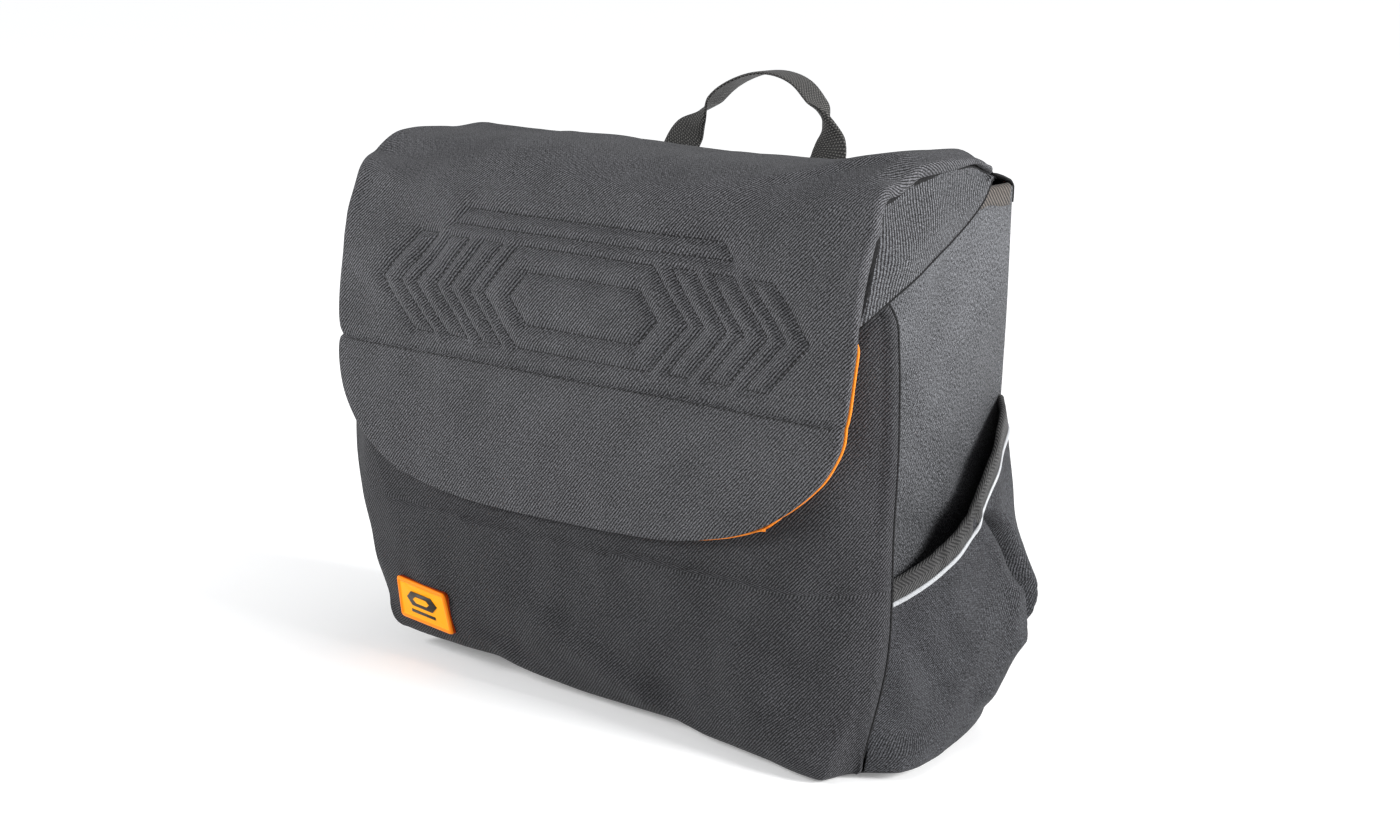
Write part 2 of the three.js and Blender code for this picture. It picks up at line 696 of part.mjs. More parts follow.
function railBar(rail) {
  const bar = alongX(polygon(RAIL_SECTION, BACK_Y, rail.z), -rail.half, rail.half);
  const counterbores = rail.screws.map((x) =>
    rodAlongY(x, rail.z, BACK_Y + 4.2, BACK_Y + 15, 4.4, 14));
  return cut(bar, ...screwHoles(rail, METAL_HOLE_R), ...counterbores);
}

function backingPlate(rail) {
  const outline = roundedRect(-rail.plateHalf, rail.plateHalf, rail.z - 8, rail.z + 8, 3);
  return cut(alongY(outline, BACK_Y - 10.2, BACK_Y - 7.4, 2), ...screwHoles(rail, METAL_HOLE_R));
}

// A rail screw with a hex socket, head outwards.
function railScrew(x, z) {
  const tipY = BACK_Y - 10.6;
  const length = 16.8;
  const headR = 3.8;
  const headLow = length - 1.7;
  const body = turned([
    [0, 0], [SCREW_R, 0], [SCREW_R, headLow], [headR, headLow],
    [headR, length - 0.4], [headR - 0.5, length], [0, length],
  ], 12);
  const socket = new THREE.CylinderGeometry(1.3, 1.3, 2, 6);
  socket.translate(0, length, 0);
  return cut(body, socket).translate(x, tipY, z);
}

for (const rail of RAILS) add(`${rail.name}_rail`, railBar(rail), ALUMINIUM);
for (const rail of RAILS) add(`${rail.name}_backing_plate`, backingPlate(rail), ALUMINIUM);
for (const { name, z, screws } of RAILS) {
  screws.forEach((x, i) => add(`${name}_rail_screw_${i + 1}`, railScrew(x, z), STEEL));
}

// --------------------------------------------------------- hooks and latches
// Hook: block on the rail's outer face, arm over the carrier tube, leg outside it.
const HOOK_X = 105; // middle of each hook from the centre line
const HOOK_W = 30;
const THROAT = 18; // for carrier tubes up to 16 mm with the insert out
const BLOCK_Y0 = BACK_Y + 7;
const BLOCK_Y1 = BACK_Y + 15;
const LEG_Y0 = BLOCK_Y1 + THROAT;
const LIP_Y = BACK_Y + 1.4; // inner face of the jaws that grip the rail
const SEAT_Z = RAIL_Z + 19;
const HOOK_TOP = RAIL_Z + 29;
const PIVOT = [BACK_Y + 11, RAIL_Z - 16]; // [y, z] of the latch pin
const PIVOT_HOLE_R = 2.3;

// Outlines in [y, z]. The hook's upper jaw hooks over the rail's top edge.
const HOOK_OUTLINE = polygon([
  [BLOCK_Y0, RAIL_Z - 25], [BLOCK_Y1, RAIL_Z - 25], [BLOCK_Y1, SEAT_Z - 2],
  [BLOCK_Y1 + 2, SEAT_Z], [LEG_Y0 - 2, SEAT_Z], [LEG_Y0, SEAT_Z - 2],
  [LEG_Y0, RAIL_Z - 8], [LEG_Y0 + 3, RAIL_Z - 14], [LEG_Y0 + 7, RAIL_Z - 11],
  [LEG_Y0 + 7.5, HOOK_TOP - 6], [LEG_Y0 + 3, HOOK_TOP], [BLOCK_Y0 + 3, HOOK_TOP],
  [LIP_Y, HOOK_TOP - 8], [LIP_Y, RAIL_Z + 10.3], [BLOCK_Y0, RAIL_Z + 14.9],
]);
const JAW_OUTLINE = polygon([
  [LIP_Y, RAIL_Z - 10.3], [BACK_Y + 6.6, RAIL_Z - 14.7],
  [BACK_Y + 6.6, RAIL_Z - 25], [LIP_Y, RAIL_Z - 22],
]);
const INSERT_OUTLINE = polygon([
  [BLOCK_Y1 + 0.35, RAIL_Z + 2], [BLOCK_Y1 + 2.35, RAIL_Z + 2],
  [BLOCK_Y1 + 2.35, SEAT_Z - 3.4], [LEG_Y0 - 2.35, SEAT_Z - 3.4],
  [LEG_Y0 - 2.35, RAIL_Z + 2], [LEG_Y0 - 0.35, RAIL_Z + 2],
  [LEG_Y0 - 0.35, SEAT_Z - 2.2], [LEG_Y0 - 2.2, SEAT_Z - 0.35],
  [BLOCK_Y1 + 2.2, SEAT_Z - 0.35], [BLOCK_Y1 + 0.35, SEAT_Z - 2.2],
]);
// Latch lever, measured from the pivot: boss on the pin, tongue under the
// tube, thumb tab at its end.
const LEVER_OUTLINE = polygon([
  [-3.4, -2.5], [-2, -4], [2, -4], [5, 0], [14, 4.5], [16, -5], [19.4, -7],
  [20.2, -5], [18.6, 9.6], [17, 12], [6, 10], [0.6, 5.6], [-2.6, 4], [-3.6, 1],
], ...PIVOT);

// The clamp screw stands beside the slot and pulls the lower jaw against the rail.
const CLAMP_OFFSET = 10.2; // outward from the middle of the hook
const CLAMP_Z = RAIL_Z - 21.4;
const CLAMP_SCREW = [[0, 0], [1.5, 0], [1.5, 10.9], [2.8, 10.9], [2.8, 12.9], [0, 12.9]];

// Centre line of the torsion spring, wound about the pivot.
class Coil extends THREE.Curve {
  constructor(startX) {
    super();
    this.startX = startX;
  }
  getPoint(t) {
    const turns = 2.2;
    const radius = 2.95;
    const length = 1.9;
    const angle = t * 2 * Math.PI * turns;
    return vec(
      this.startX + length * t,
      PIVOT[0] + radius * Math.cos(angle),
      PIVOT[1] + radius * Math.sin(angle),
    );
  }
}

function latchSpring(startX) {
  const wire = new THREE.Shape();
  wire.absarc(0, 0, 0.38, 0, 2 * Math.PI);
  return new THREE.ExtrudeGeometry(wire, {
    steps: 22,
    bevelEnabled: false,
    extrudePath: new Coil(startX),
    curveSegments: 3,
  });
}

const rodOnPivot = (x0, x1, radius) => rod([x0, ...PIVOT], [x1, ...PIVOT], radius, 12);

for (const [side, sign] of SIDES) {
  const x = sign * HOOK_X;
  const x0 = x - HOOK_W / 2;
  const x1 = x + HOOK_W / 2;
  const clampX = x + sign * CLAMP_OFFSET;
  // the slot makes room for the lever
  const slot = box(x - 5.6, x + 5.6, BACK_Y + 5, BACK_Y + 20, RAIL_Z - 35, RAIL_Z + 4);
  const pinHole = rodOnPivot(x0 - 2, x1 + 2, PIVOT_HOLE_R);
  const clampHole = rodAlongY(clampX, CLAMP_Z, BACK_Y - 5, BACK_Y + 25, 1.9, 10);
  const clampSink = rodAlongY(clampX, CLAMP_Z, BACK_Y + 12.4, BACK_Y + 25, 3.2, 12);
  add(`hook_${side}_body`,
    cut(alongX(HOOK_OUTLINE, x0, x1), slot, pinHole, clampHole, clampSink), NYLON);
  add(`hook_${side}_clamp_jaw`, cut(alongX(JAW_OUTLINE, x0, x1), clampHole), NYLON);
  add(`hook_${side}_clamp_screw`,
    turned(CLAMP_SCREW, 12).translate(clampX, BACK_Y + 1.8, CLAMP_Z), STEEL);
  // the insert narrows the throat for a thinner tube
  add(`hook_${side}_tube_insert`, alongX(INSERT_OUTLINE, x0 + 2, x1 - 2), NYLON);

  add(`latch_${side}_pin`, rodOnPivot(x0 + 0.5, x1 - 0.5, 1.9), STEEL);
  const leverHole = rodOnPivot(x - 9, x + 9, PIVOT_HOLE_R);
  add(`latch_${side}_lever`, cut(alongX(LEVER_OUTLINE, x - 4.6, x + 2), leverHole), NYLON);
  add(`latch_${side}_spring`, latchSpring(x + 2.9), STEEL);
}

// ------------------------------------------------------------- lower anchor
// Slider section, [y from BACK_Y, z from the lower rail's middle].
const SLIDER_SECTION = [
  [7, -17], [11, -17], [11, 17], [7, 17], [1.4, 17], [1.4, 10.3], [7, 14.9],
  [7, -14.9], [1.4, -10.3], [1.4, -17],
];
const ARM_HALF_W = 9;
// The arm's end turns out and back up, so that it hooks behind a carrier
// strut: [y from BACK_Y, z].
const ARM_LIP = [[14, 24], [29, 24], [29, 42], [25, 42], [25, 29], [14, 29]];
const PIVOT_SCREW = [[0, 0], [2, 0], [2, 9.4], [5, 9.4], [5, 11], [4.2, 11.9], [0, 11.9]];
const anchorHole = rodAlongY(0, LOWER_RAIL_Z, BACK_Y - 5, BACK_Y + 25, 2.4, 12);

function anchorArm() {
  const half = ARM_HALF_W;
  const z = LOWER_RAIL_Z;
  const outline = new THREE.Shape();
  outline.moveTo(-half, z);
  outline.lineTo(-half, z + 2);
  outline.quadraticCurveTo(-8, z + 10, 0, z + 10);
  outline.quadraticCurveTo(8, z + 10, half, z + 2);
  outline.lineTo(half, z - 46);
  outline.lineTo(-half, z - 46);
  outline.closePath();
  const lip = alongX(polygon(ARM_LIP, BACK_Y, 0), -half, half);
  return cut(join(alongY(outline, BACK_Y + 11.4, BACK_Y + 16, 4), lip), anchorHole);
}

const slider = alongX(polygon(SLIDER_SECTION, BACK_Y, LOWER_RAIL_Z), -15, 15);
add("anchor_slider", cut(slider, anchorHole), NYLON);
add("anchor_arm", anchorArm(), NYLON);
add("anchor_pivot_screw",
  turned(PIVOT_SCREW, 14).translate(0, BACK_Y + 7, LOWER_RAIL_Z), STEEL);

export default group;
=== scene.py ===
"""The looks of a soft flap bag for a rear carrier, built round its fixed frame.

X runs across the bag (+X is its right), Y from the front face (-Y) to the back (+Y), and Z up
from the floor. Lengths are millimetres until a mesh, light or camera is made; shader lengths are
millimetres along the weave, or metres in object coordinates.
"""
import math

import bmesh
import bpy
import numpy as np
from mathutils import Matrix, Vector
from mathutils.bvhtree import BVHTree


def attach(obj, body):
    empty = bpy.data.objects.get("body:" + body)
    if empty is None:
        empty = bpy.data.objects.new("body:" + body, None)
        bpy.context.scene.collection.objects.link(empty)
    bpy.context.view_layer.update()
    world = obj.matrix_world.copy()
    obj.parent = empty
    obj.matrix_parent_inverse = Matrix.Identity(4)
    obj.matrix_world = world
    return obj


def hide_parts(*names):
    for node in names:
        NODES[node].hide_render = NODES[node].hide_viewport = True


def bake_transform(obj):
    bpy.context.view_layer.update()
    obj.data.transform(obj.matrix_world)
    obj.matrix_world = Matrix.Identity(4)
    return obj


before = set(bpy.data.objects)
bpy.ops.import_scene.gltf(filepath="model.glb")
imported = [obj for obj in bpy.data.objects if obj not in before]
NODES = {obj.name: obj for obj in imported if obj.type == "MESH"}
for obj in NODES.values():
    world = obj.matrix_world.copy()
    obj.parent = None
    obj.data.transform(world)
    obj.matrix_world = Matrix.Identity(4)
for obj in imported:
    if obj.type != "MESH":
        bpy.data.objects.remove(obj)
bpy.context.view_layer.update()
MM = 0.001
SIDES = ((1, "right"), (-1, "left"))  # sign of X, label


# ------------------------------------------------------------------ numbers
def hermite(u, h, y0, slope0, y1, slope1):
    """Cubic over a step of length h, at share u of the step."""
    return (
        (2 * u**3 - 3 * u**2 + 1) * y0
        + (u**3 - 2 * u**2 + u) * h * slope0
        + (-2 * u**3 + 3 * u**2) * y1
        + (u**3 - u**2) * h * slope1
    )


def pchip(xs, ys, t):
    """Smooth, non-overshooting curve through (xs, ys); ys may have columns."""
    xs, ys, t = np.asarray(xs, float), np.asarray(ys, float), np.asarray(t, float)
    if ys.ndim > 1:
        return np.stack([pchip(xs, column, t) for column in ys.T], -1)
    h = np.diff(xs)
    d = np.diff(ys) / h
    slopes = np.zeros_like(ys)
    same = d[:-1] * d[1:] > 0
    slopes[1:-1] = np.where(same, 2 * d[:-1] * d[1:] / np.where(same, d[:-1] + d[1:], 1), 0)
    slopes[0], slopes[-1] = d[0], d[-1]
    i = np.clip(np.searchsorted(xs, t, side="right") - 1, 0, len(h) - 1)
    u = np.clip((t - xs[i]) / h[i], 0, 1)
    return hermite(u, h[i], ys[i], slopes[i], ys[i + 1], slopes[i + 1])


def path_arc(points):
    """Length along a path at each of its points."""
    return np.r_[0, np.cumsum(np.linalg.norm(np.diff(points, axis=0), axis=-1))]


def interp_rows(want, at, rows):
    """Rows of numbers placed at `at`, read linearly at `want`."""
    return np.stack([np.interp(want, at, column) for column in rows.T], -1)


def even_rows(rows, n):
    return interp_rows(np.linspace(0, 1, n), np.linspace(0, 1, len(rows)), rows)


def spline(points, n):
    """n evenly spaced points along a Catmull-Rom curve."""
    points = np.asarray(points, float)
    arc = path_arc(points)
    slopes = np.gradient(points, arc, axis=0)
    t = np.linspace(0, arc[-1], max(n * 4, 200))
    i = np.clip(np.searchsorted(arc, t, side="right") - 1, 0, len(arc) - 2)
    h = (arc[i + 1] - arc[i])[:, None]
    u = (t - arc[i])[:, None] / h
    fine = hermite(u, h, points[i], slopes[i], points[i + 1], slopes[i + 1])
    fine_arc = path_arc(fine)
    return interp_rows(np.linspace(0, fine_arc[-1], n), fine_arc, fine)


def smoothstep(a, b, x):
    t = np.clip((x - a) / (b - a), 0, 1)
    return t * t * (3 - 2 * t)


def bell(x):
    return np.exp(-(x**2))


def unit(vectors):
    return vectors / np.maximum(np.linalg.norm(vectors, axis=-1, keepdims=True), 1e-9)


class Ripple:
    """Smooth noise over two coordinates in mm: a seeded sum of plane waves."""

    def __init__(self, seed, size, waves=22):
        draw = np.random.default_rng(seed)
        heading = draw.uniform(0, 2 * np.pi, waves)
        k = 2 * np.pi / (size * draw.uniform(0.7, 1.9, waves))
        self.kx, self.ky = k * np.cos(heading), k * np.sin(heading)
        self.phase = draw.uniform(0, 2 * np.pi, waves)
        self.weight = 1.0 / np.sqrt(waves)

    def __call__(self, x, y):
        x, y = np.asarray(x, float), np.asarray(y, float)
        out = np.zeros(np.broadcast(x, y).shape)
        for kx, ky, phase in zip(self.kx, self.ky, self.phase):
            out = out + np.sin(kx * x + ky * y + phase)
        return out * self.weight


def resample(grid, rows, cols):
    """A coarse grid (row, column, 3) read smoothly on a finer one."""
    old_rows, old_cols = grid.shape[:2]
    down, across = np.linspace(0, 1, old_rows), np.linspace(0, 1, old_cols)
    tall = pchip(down, grid.reshape(old_rows, -1), np.linspace(0, 1, rows))
    tall = tall.reshape(rows, old_cols, -1).transpose(1, 0, 2)
    wide = pchip(across, tall.reshape(old_cols, -1), np.linspace(0, 1, cols))
    return wide.reshape(cols, rows, -1).transpose(1, 0, 2)


def seg_distance(x, z, lines):
    """Distance from (x, z) to the nearest of some polylines."""
    best = np.full(np.shape(x), 1e9)
    for line in lines:
        for (x0, z0), (x1, z1) in zip(line[:-1], line[1:]):
            dx, dz = x1 - x0, z1 - z0
            t = np.clip(((x - x0) * dx + (z - z0) * dz) / (dx * dx + dz * dz), 0, 1)
            best = np.minimum(best, np.hypot(x - x0 - t * dx, z - z0 - t * dz))
    return best


def beside_line(a, b, line, fade):
    """How strongly a line (a0, b0, a1, b1) acts at (a, b), and the distance off to its left.

    fade: where it starts before the end, is full inside it, and dies out past the far end."""
    a0, b0, a1, b1 = line
    before, inside, after = fade
    da, db = a1 - a0, b1 - b0
    length = math.hypot(da, db)
    along = ((a - a0) * da + (b - b0) * db) / length
    off = (-(a - a0) * db + (b - b0) * da) / length
    start = smoothstep(-before, inside, along)
    return start * (1 - smoothstep(length - inside, length + after, along)), off


def soft_folds(a, b, folds, fade, ridge_side=1, valley=1.0):
    """Folds (a0, b0, a1, b1, height, width): a ridge to one side of each line, a valley beyond."""
    total = 0
    for *line, height, width in folds:
        strength, off = beside_line(a, b, line, fade)
        shift = ridge_side * width * 0.6
        ridge, dip = bell((off - shift) / width), bell((off + shift) / (width * valley))
        total = total + height * strength * (ridge - dip)
    return total


# ------------------------------------------------------------------- meshes
def make(name, verts, faces, uv=None, mats=(), face_mats=None, smooth=True):
    """A mesh object from vertices in mm, faces, and a weave coordinate in mm per vertex."""
    me = bpy.data.meshes.new(name)
    points = (np.asarray(verts, float) * MM).tolist()
    me.from_pydata(points, [], [list(map(int, f)) for f in faces])
    for mat in mats:
        me.materials.append(mat)
    if face_mats is not None:
        me.polygons.foreach_set("material_index", np.asarray(face_mats, np.int32))
    if smooth:
        me.polygons.foreach_set("use_smooth", np.ones(len(me.polygons), bool))
    if uv is not None:
        layer = me.uv_layers.new(name="weave")
        loops = np.zeros(len(me.loops), np.int32)
        me.loops.foreach_get("vertex_index", loops)
        layer.data.foreach_set("uv", np.asarray(uv, np.float32)[loops].ravel())
    me.update()
    ob = bpy.data.objects.new(name, me)
    bpy.context.scene.collection.objects.link(ob)
    return ob


def fix_normals(ob):
    bm = bmesh.new()
    bm.from_mesh(ob.data)
    bmesh.ops.recalc_face_normals(bm, faces=bm.faces)
    bm.to_mesh(ob.data)
    bm.free()
    ob.data.update()


def grid_normals(grid, out):
    """Unit normals of a grid, turned to agree with out, and whether they had to turn."""
    normals = unit(np.cross(np.gradient(grid, axis=1), np.gradient(grid, axis=0)))
    sign = 1.0 if np.sum(normals * np.asarray(out, float)) >= 0 else -1.0
    return normals * sign, sign


def grid_faces(rows, cols):
    index = np.arange(rows * cols).reshape(rows, cols)
    corners = [index[:-1, :-1], index[:-1, 1:], index[1:, 1:], index[1:, :-1]]
    return index, np.stack(corners, -1).reshape(-1, 4)


def border_of(rows, cols):
    """Row and column numbers round a grid's border."""
    ring = [(0, i) for i in range(cols)] + [(j, cols - 1) for j in range(1, rows)]
    ring += [(rows - 1, i) for i in range(cols - 2, -1, -1)]
    ring += [(j, 0) for j in range(rows - 2, 0, -1)]
    return np.array(ring).T


def outward(grid, j, i):
    """Unit directions out of a grid at its border points."""
    def facing(k, last):
        return ((k == last) * 1.0 - (k == 0))[:, None]

    across, down = unit(np.gradient(grid, axis=1)), unit(np.gradient(grid, axis=0))
    return unit(
        across[j, i] * facing(i, grid.shape[1] - 1) + down[j, i] * facing(j, grid.shape[0] - 1)
    )


def sheet(name, outer, uv, mats, out, thick=None, inner=None, rim=3, round_by=None, inner_mat=0):
    """A closed, round-edged sheet between an outer face (row, column, 3) and an inner one,
    which lies `thick` behind it unless given. The edge has `rim` rings of vertices."""
    rows, cols = outer.shape[:2]
    normals, sign = grid_normals(outer, out)
    if inner is None:
        inner = outer - normals * thick
    index, grid = grid_faces(rows, cols)
    j, i = border_of(rows, cols)
    away, away_uv = outward(outer, j, i), outward(uv, j, i)
    middle, half = (outer[j, i] + inner[j, i]) / 2, (outer[j, i] - inner[j, i]) / 2
    half_thick = np.linalg.norm(half, axis=1, keepdims=True)
    bulge = half_thick if round_by is None else round_by
    verts, uvs = [outer.reshape(-1, 3)], [uv.reshape(-1, 2)]
    rings = [index[j, i]]
    base = rows * cols
    for k in range(1, rim + 1):
        turn = math.pi * k / (rim + 1)
        verts.append(middle + half * math.cos(turn) + away * bulge * math.sin(turn))
        uvs.append(uv[j, i] + away_uv * (half_thick * turn))
        rings.append(np.arange(base, base + len(j)))
        base += len(j)
    verts.append(inner.reshape(-1, 3))
    uvs.append(uv.reshape(-1, 2))
    rings.append(base + index[j, i])
    faces = [grid, grid[:, [0, 3, 2, 1]] + base]
    for near, far in zip(rings[:-1], rings[1:]):
        faces.append(np.stack([np.roll(near, -1), near, far, np.roll(far, -1)], 1))
    faces = np.concatenate(faces)
    if sign < 0:
        faces = faces[:, ::-1]
    face_mats = np.zeros(len(faces), int)
    face_mats[len(grid) : 2 * len(grid)] = inner_mat
    return make(name, np.concatenate(verts), faces, np.concatenate(uvs), mats, face_mats)


def sweep(name, path, across, up, section, mat):
    """A closed tube. section: (k, 2) points in the across and up directions, the same all along
    or one set per path point. Weave u runs along the path, v round the section."""
    n, k = len(path), np.shape(section)[-2]
    across, up = (np.broadcast_to(d, path.shape)[:, None] for d in (across, up))
    section = np.broadcast_to(section, (n, k, 2))
    verts = path[:, None] + section[..., :1] * across + section[..., 1:] * up
    steps = np.linalg.norm(np.diff(section, axis=1), axis=-1)
    around = np.concatenate([np.zeros((n, 1)), np.cumsum(steps, 1)], 1)
    uv = np.stack(np.broadcast_arrays(path_arc(path)[:, None], around), -1)
    faces = []
    for i in range(n - 1):
        for a in range(k):
            b = (a + 1) % k
            faces.append([i * k + a, i * k + b, (i + 1) * k + b, (i + 1) * k + a])
    faces.append(list(range(k))[::-1])
    faces.append([(n - 1) * k + a for a in range(k)])
    ob = make(name, verts.reshape(-1, 3), faces, uv.reshape(-1, 2), [mat])
    fix_normals(ob)
    return ob


def oval(half_width, half_height, points, flat=2.0):
    """A rounded section: flat 2 is an ellipse, larger is squarer."""
    t = np.linspace(0, 2 * np.pi, points, endpoint=False)
    c, s = np.cos(t), np.sin(t)
    return np.stack([
        half_width * np.sign(c) * np.abs(c) ** (2 / flat),
        half_height * np.sign(s) * np.abs(s) ** (2 / flat),
    ], 1)


def folded_tape(outer_leg, inner_leg, gap, tape=0.9):
    """Section of a tape folded over an edge: two legs with a gap between them."""
    h = gap / 2
    over = [((h + tape) * -math.cos(a), (h + tape) * math.sin(a)) for a in np.linspace(0, math.pi, 9)]
    under = [(h * math.cos(a), h * math.sin(a)) for a in np.linspace(0, math.pi, 7)]
    feet = [(h + tape, -inner_leg), (h, -inner_leg)]
    return np.array([(-h - tape, -outer_leg)] + over + feet + under + [(-h, -outer_leg)])


def tangents(path):
    return unit(np.gradient(path, axis=0))


def frames_along(path, hint):
    """Unit across and up along a path; up stays near hint."""
    along = tangents(path)
    hint = np.broadcast_to(np.asarray(hint, float), along.shape)
    up = unit(hint - along * np.sum(hint * along, 1, keepdims=True))
    return np.cross(along, up), up


def joined(name, parts):
    """Several objects made one."""
    verts, faces, uvs, face_mats, mats, offset = [], [], [], [], [], 0
    for part in parts:
        me = part.data
        co = np.zeros(len(me.vertices) * 3)
        me.vertices.foreach_get("co", co)
        verts.append(co.reshape(-1, 3) / MM)
        uv = np.zeros((len(me.vertices), 2))
        loops = np.zeros(len(me.loops), np.int32)
        me.loops.foreach_get("vertex_index", loops)
        data = np.zeros(len(me.loops) * 2, np.float32)
        me.uv_layers["weave"].data.foreach_get("uv", data)
        uv[loops] = data.reshape(-1, 2)
        uvs.append(uv)
        for poly in me.polygons:
            mat = me.materials[poly.material_index]
            if mat not in mats:
                mats.append(mat)
            face_mats.append(mats.index(mat))
            faces.append([offset + v for v in poly.vertices])
        offset += len(me.vertices)
        bpy.data.objects.remove(part)
    ob = make(name, np.concatenate(verts), faces, np.concatenate(uvs), mats, face_mats)
    fix_normals(ob)
    return ob


def uv_of(grid):
    """Weave coordinates: distances along the grid from its middle column and first row."""
    rows, cols = grid.shape[:2]
    across = np.linalg.norm(np.diff(grid, axis=1), axis=-1)
    u = np.concatenate([np.zeros((rows, 1)), np.cumsum(across, 1)], 1)
    u = u - u[:, cols // 2 : cols // 2 + 1]
    down = np.linalg.norm(np.diff(grid, axis=0), axis=-1)
    v = np.concatenate([np.zeros((1, cols)), np.cumsum(down, 0)], 0)
    return np.stack([u, np.repeat(v.mean(1, keepdims=True), cols, 1)], -1)


class Surface:
    """Finds a grid surface along a direction."""

    def __init__(self, grid):
        faces = grid_faces(*grid.shape[:2])[1]
        points = [Vector(p) for p in grid.reshape(-1, 3)]
        self.tree = BVHTree.FromPolygons(points, faces.tolist())

    def at(self, origin, direction):
        point, normal, _, _ = self.tree.ray_cast(Vector(origin), Vector(direction))
        if point is None:
            point, normal, _, _ = self.tree.find_nearest(Vector(origin))
        if normal.dot(Vector(direction)) > 0:
            normal = -normal
        return np.array(point), np.array(normal)


# -------------------------------------------------------------------- cloth
CLOTH_FRAMES = 16


def edge_pins(grid):
    """Pin weights that hold a grid by its four edges."""
    pin = np.zeros(grid.shape[:2])
    pin[0] = pin[-1] = pin[:, 0] = pin[:, -1] = 1
    return pin


def relax(grid, pin, pressure, grow, cap, gravity, stiff=12.0, bend=0.4, flip=False):
    """Cloth simulation of a grid (row, column, 3); pin holds points in place. Returns the moved
    grid, with no point further than cap from its start."""
    faces = grid_faces(*grid.shape[:2])[1]
    if flip:
        faces = faces[:, ::-1]
    ob = make("cloth_work", grid.reshape(-1, 3), faces)
    group = ob.vertex_groups.new(name="pin")
    for k, weight in enumerate(pin.ravel()):
        if weight > 0:
            group.add([k], float(weight), "REPLACE")
    mod = ob.modifiers.new("Cloth", "CLOTH")
    st = mod.settings
    st.quality = 6
    st.mass = 0.3
    st.tension_stiffness = st.compression_stiffness = stiff
    st.shear_stiffness = stiff * 0.5
    st.bending_stiffness = bend
    st.tension_damping = st.compression_damping = 8
    st.shear_damping = 8
    st.air_damping = 4
    st.vertex_group_mass = "pin"
    st.pin_stiffness = 1.0
    st.shrink_min = st.shrink_max = -grow
    st.use_pressure = True
    st.uniform_pressure_force = pressure
    st.effector_weights.gravity = gravity
    mod.collision_settings.use_collision = False
    mod.collision_settings.use_self_collision = False
    mod.point_cache.frame_start, mod.point_cache.frame_end = 1, CLOTH_FRAMES
    scene = bpy.context.scene
    scene.frame_start, scene.frame_end = 1, CLOTH_FRAMES
    for f in range(1, CLOTH_FRAMES + 1):
        scene.frame_set(f)
    evaluated = ob.evaluated_get(bpy.context.evaluated_depsgraph_get())
    co = np.zeros(grid.size)
    evaluated.data.vertices.foreach_get("co", co)
    scene.frame_set(1)
    me = ob.data
    bpy.data.objects.remove(ob)
    bpy.data.meshes.remove(me)
    move = co.reshape(grid.shape) / MM - grid
    if not np.all(np.isfinite(move)):
        return grid
    length = np.linalg.norm(move, axis=-1, keepdims=True)
    move = move * np.where(length > cap, cap / np.maximum(length, 1e-9), 1)
    free = (pin <= 0)[..., None]
    for _ in range(3):  # smooth the free points
        soft = np.pad(move, ((1, 1), (1, 1), (0, 0)), mode="edge")
        soft = (soft[:-2] + 2 * soft[1:-1] + soft[2:]) / 4
        soft = (soft[:, :-2] + 2 * soft[:, 1:-1] + soft[:, 2:]) / 4
        move = np.where(free, soft, move)
    return grid + move


# ---------------------------------------------------------------- materials
def srgb(*rgb):
    """Linear colour from 0..255 sRGB values."""
    def linear(c):
        return c / 255 / 12.92 if c / 255 <= 0.04045 else ((c / 255 + 0.055) / 1.055) ** 2.4

    return tuple(linear(c) for c in rgb) + (1,)


def scaled(color, gain):
    return tuple(min(1, c * gain) for c in color[:3]) + (1,)


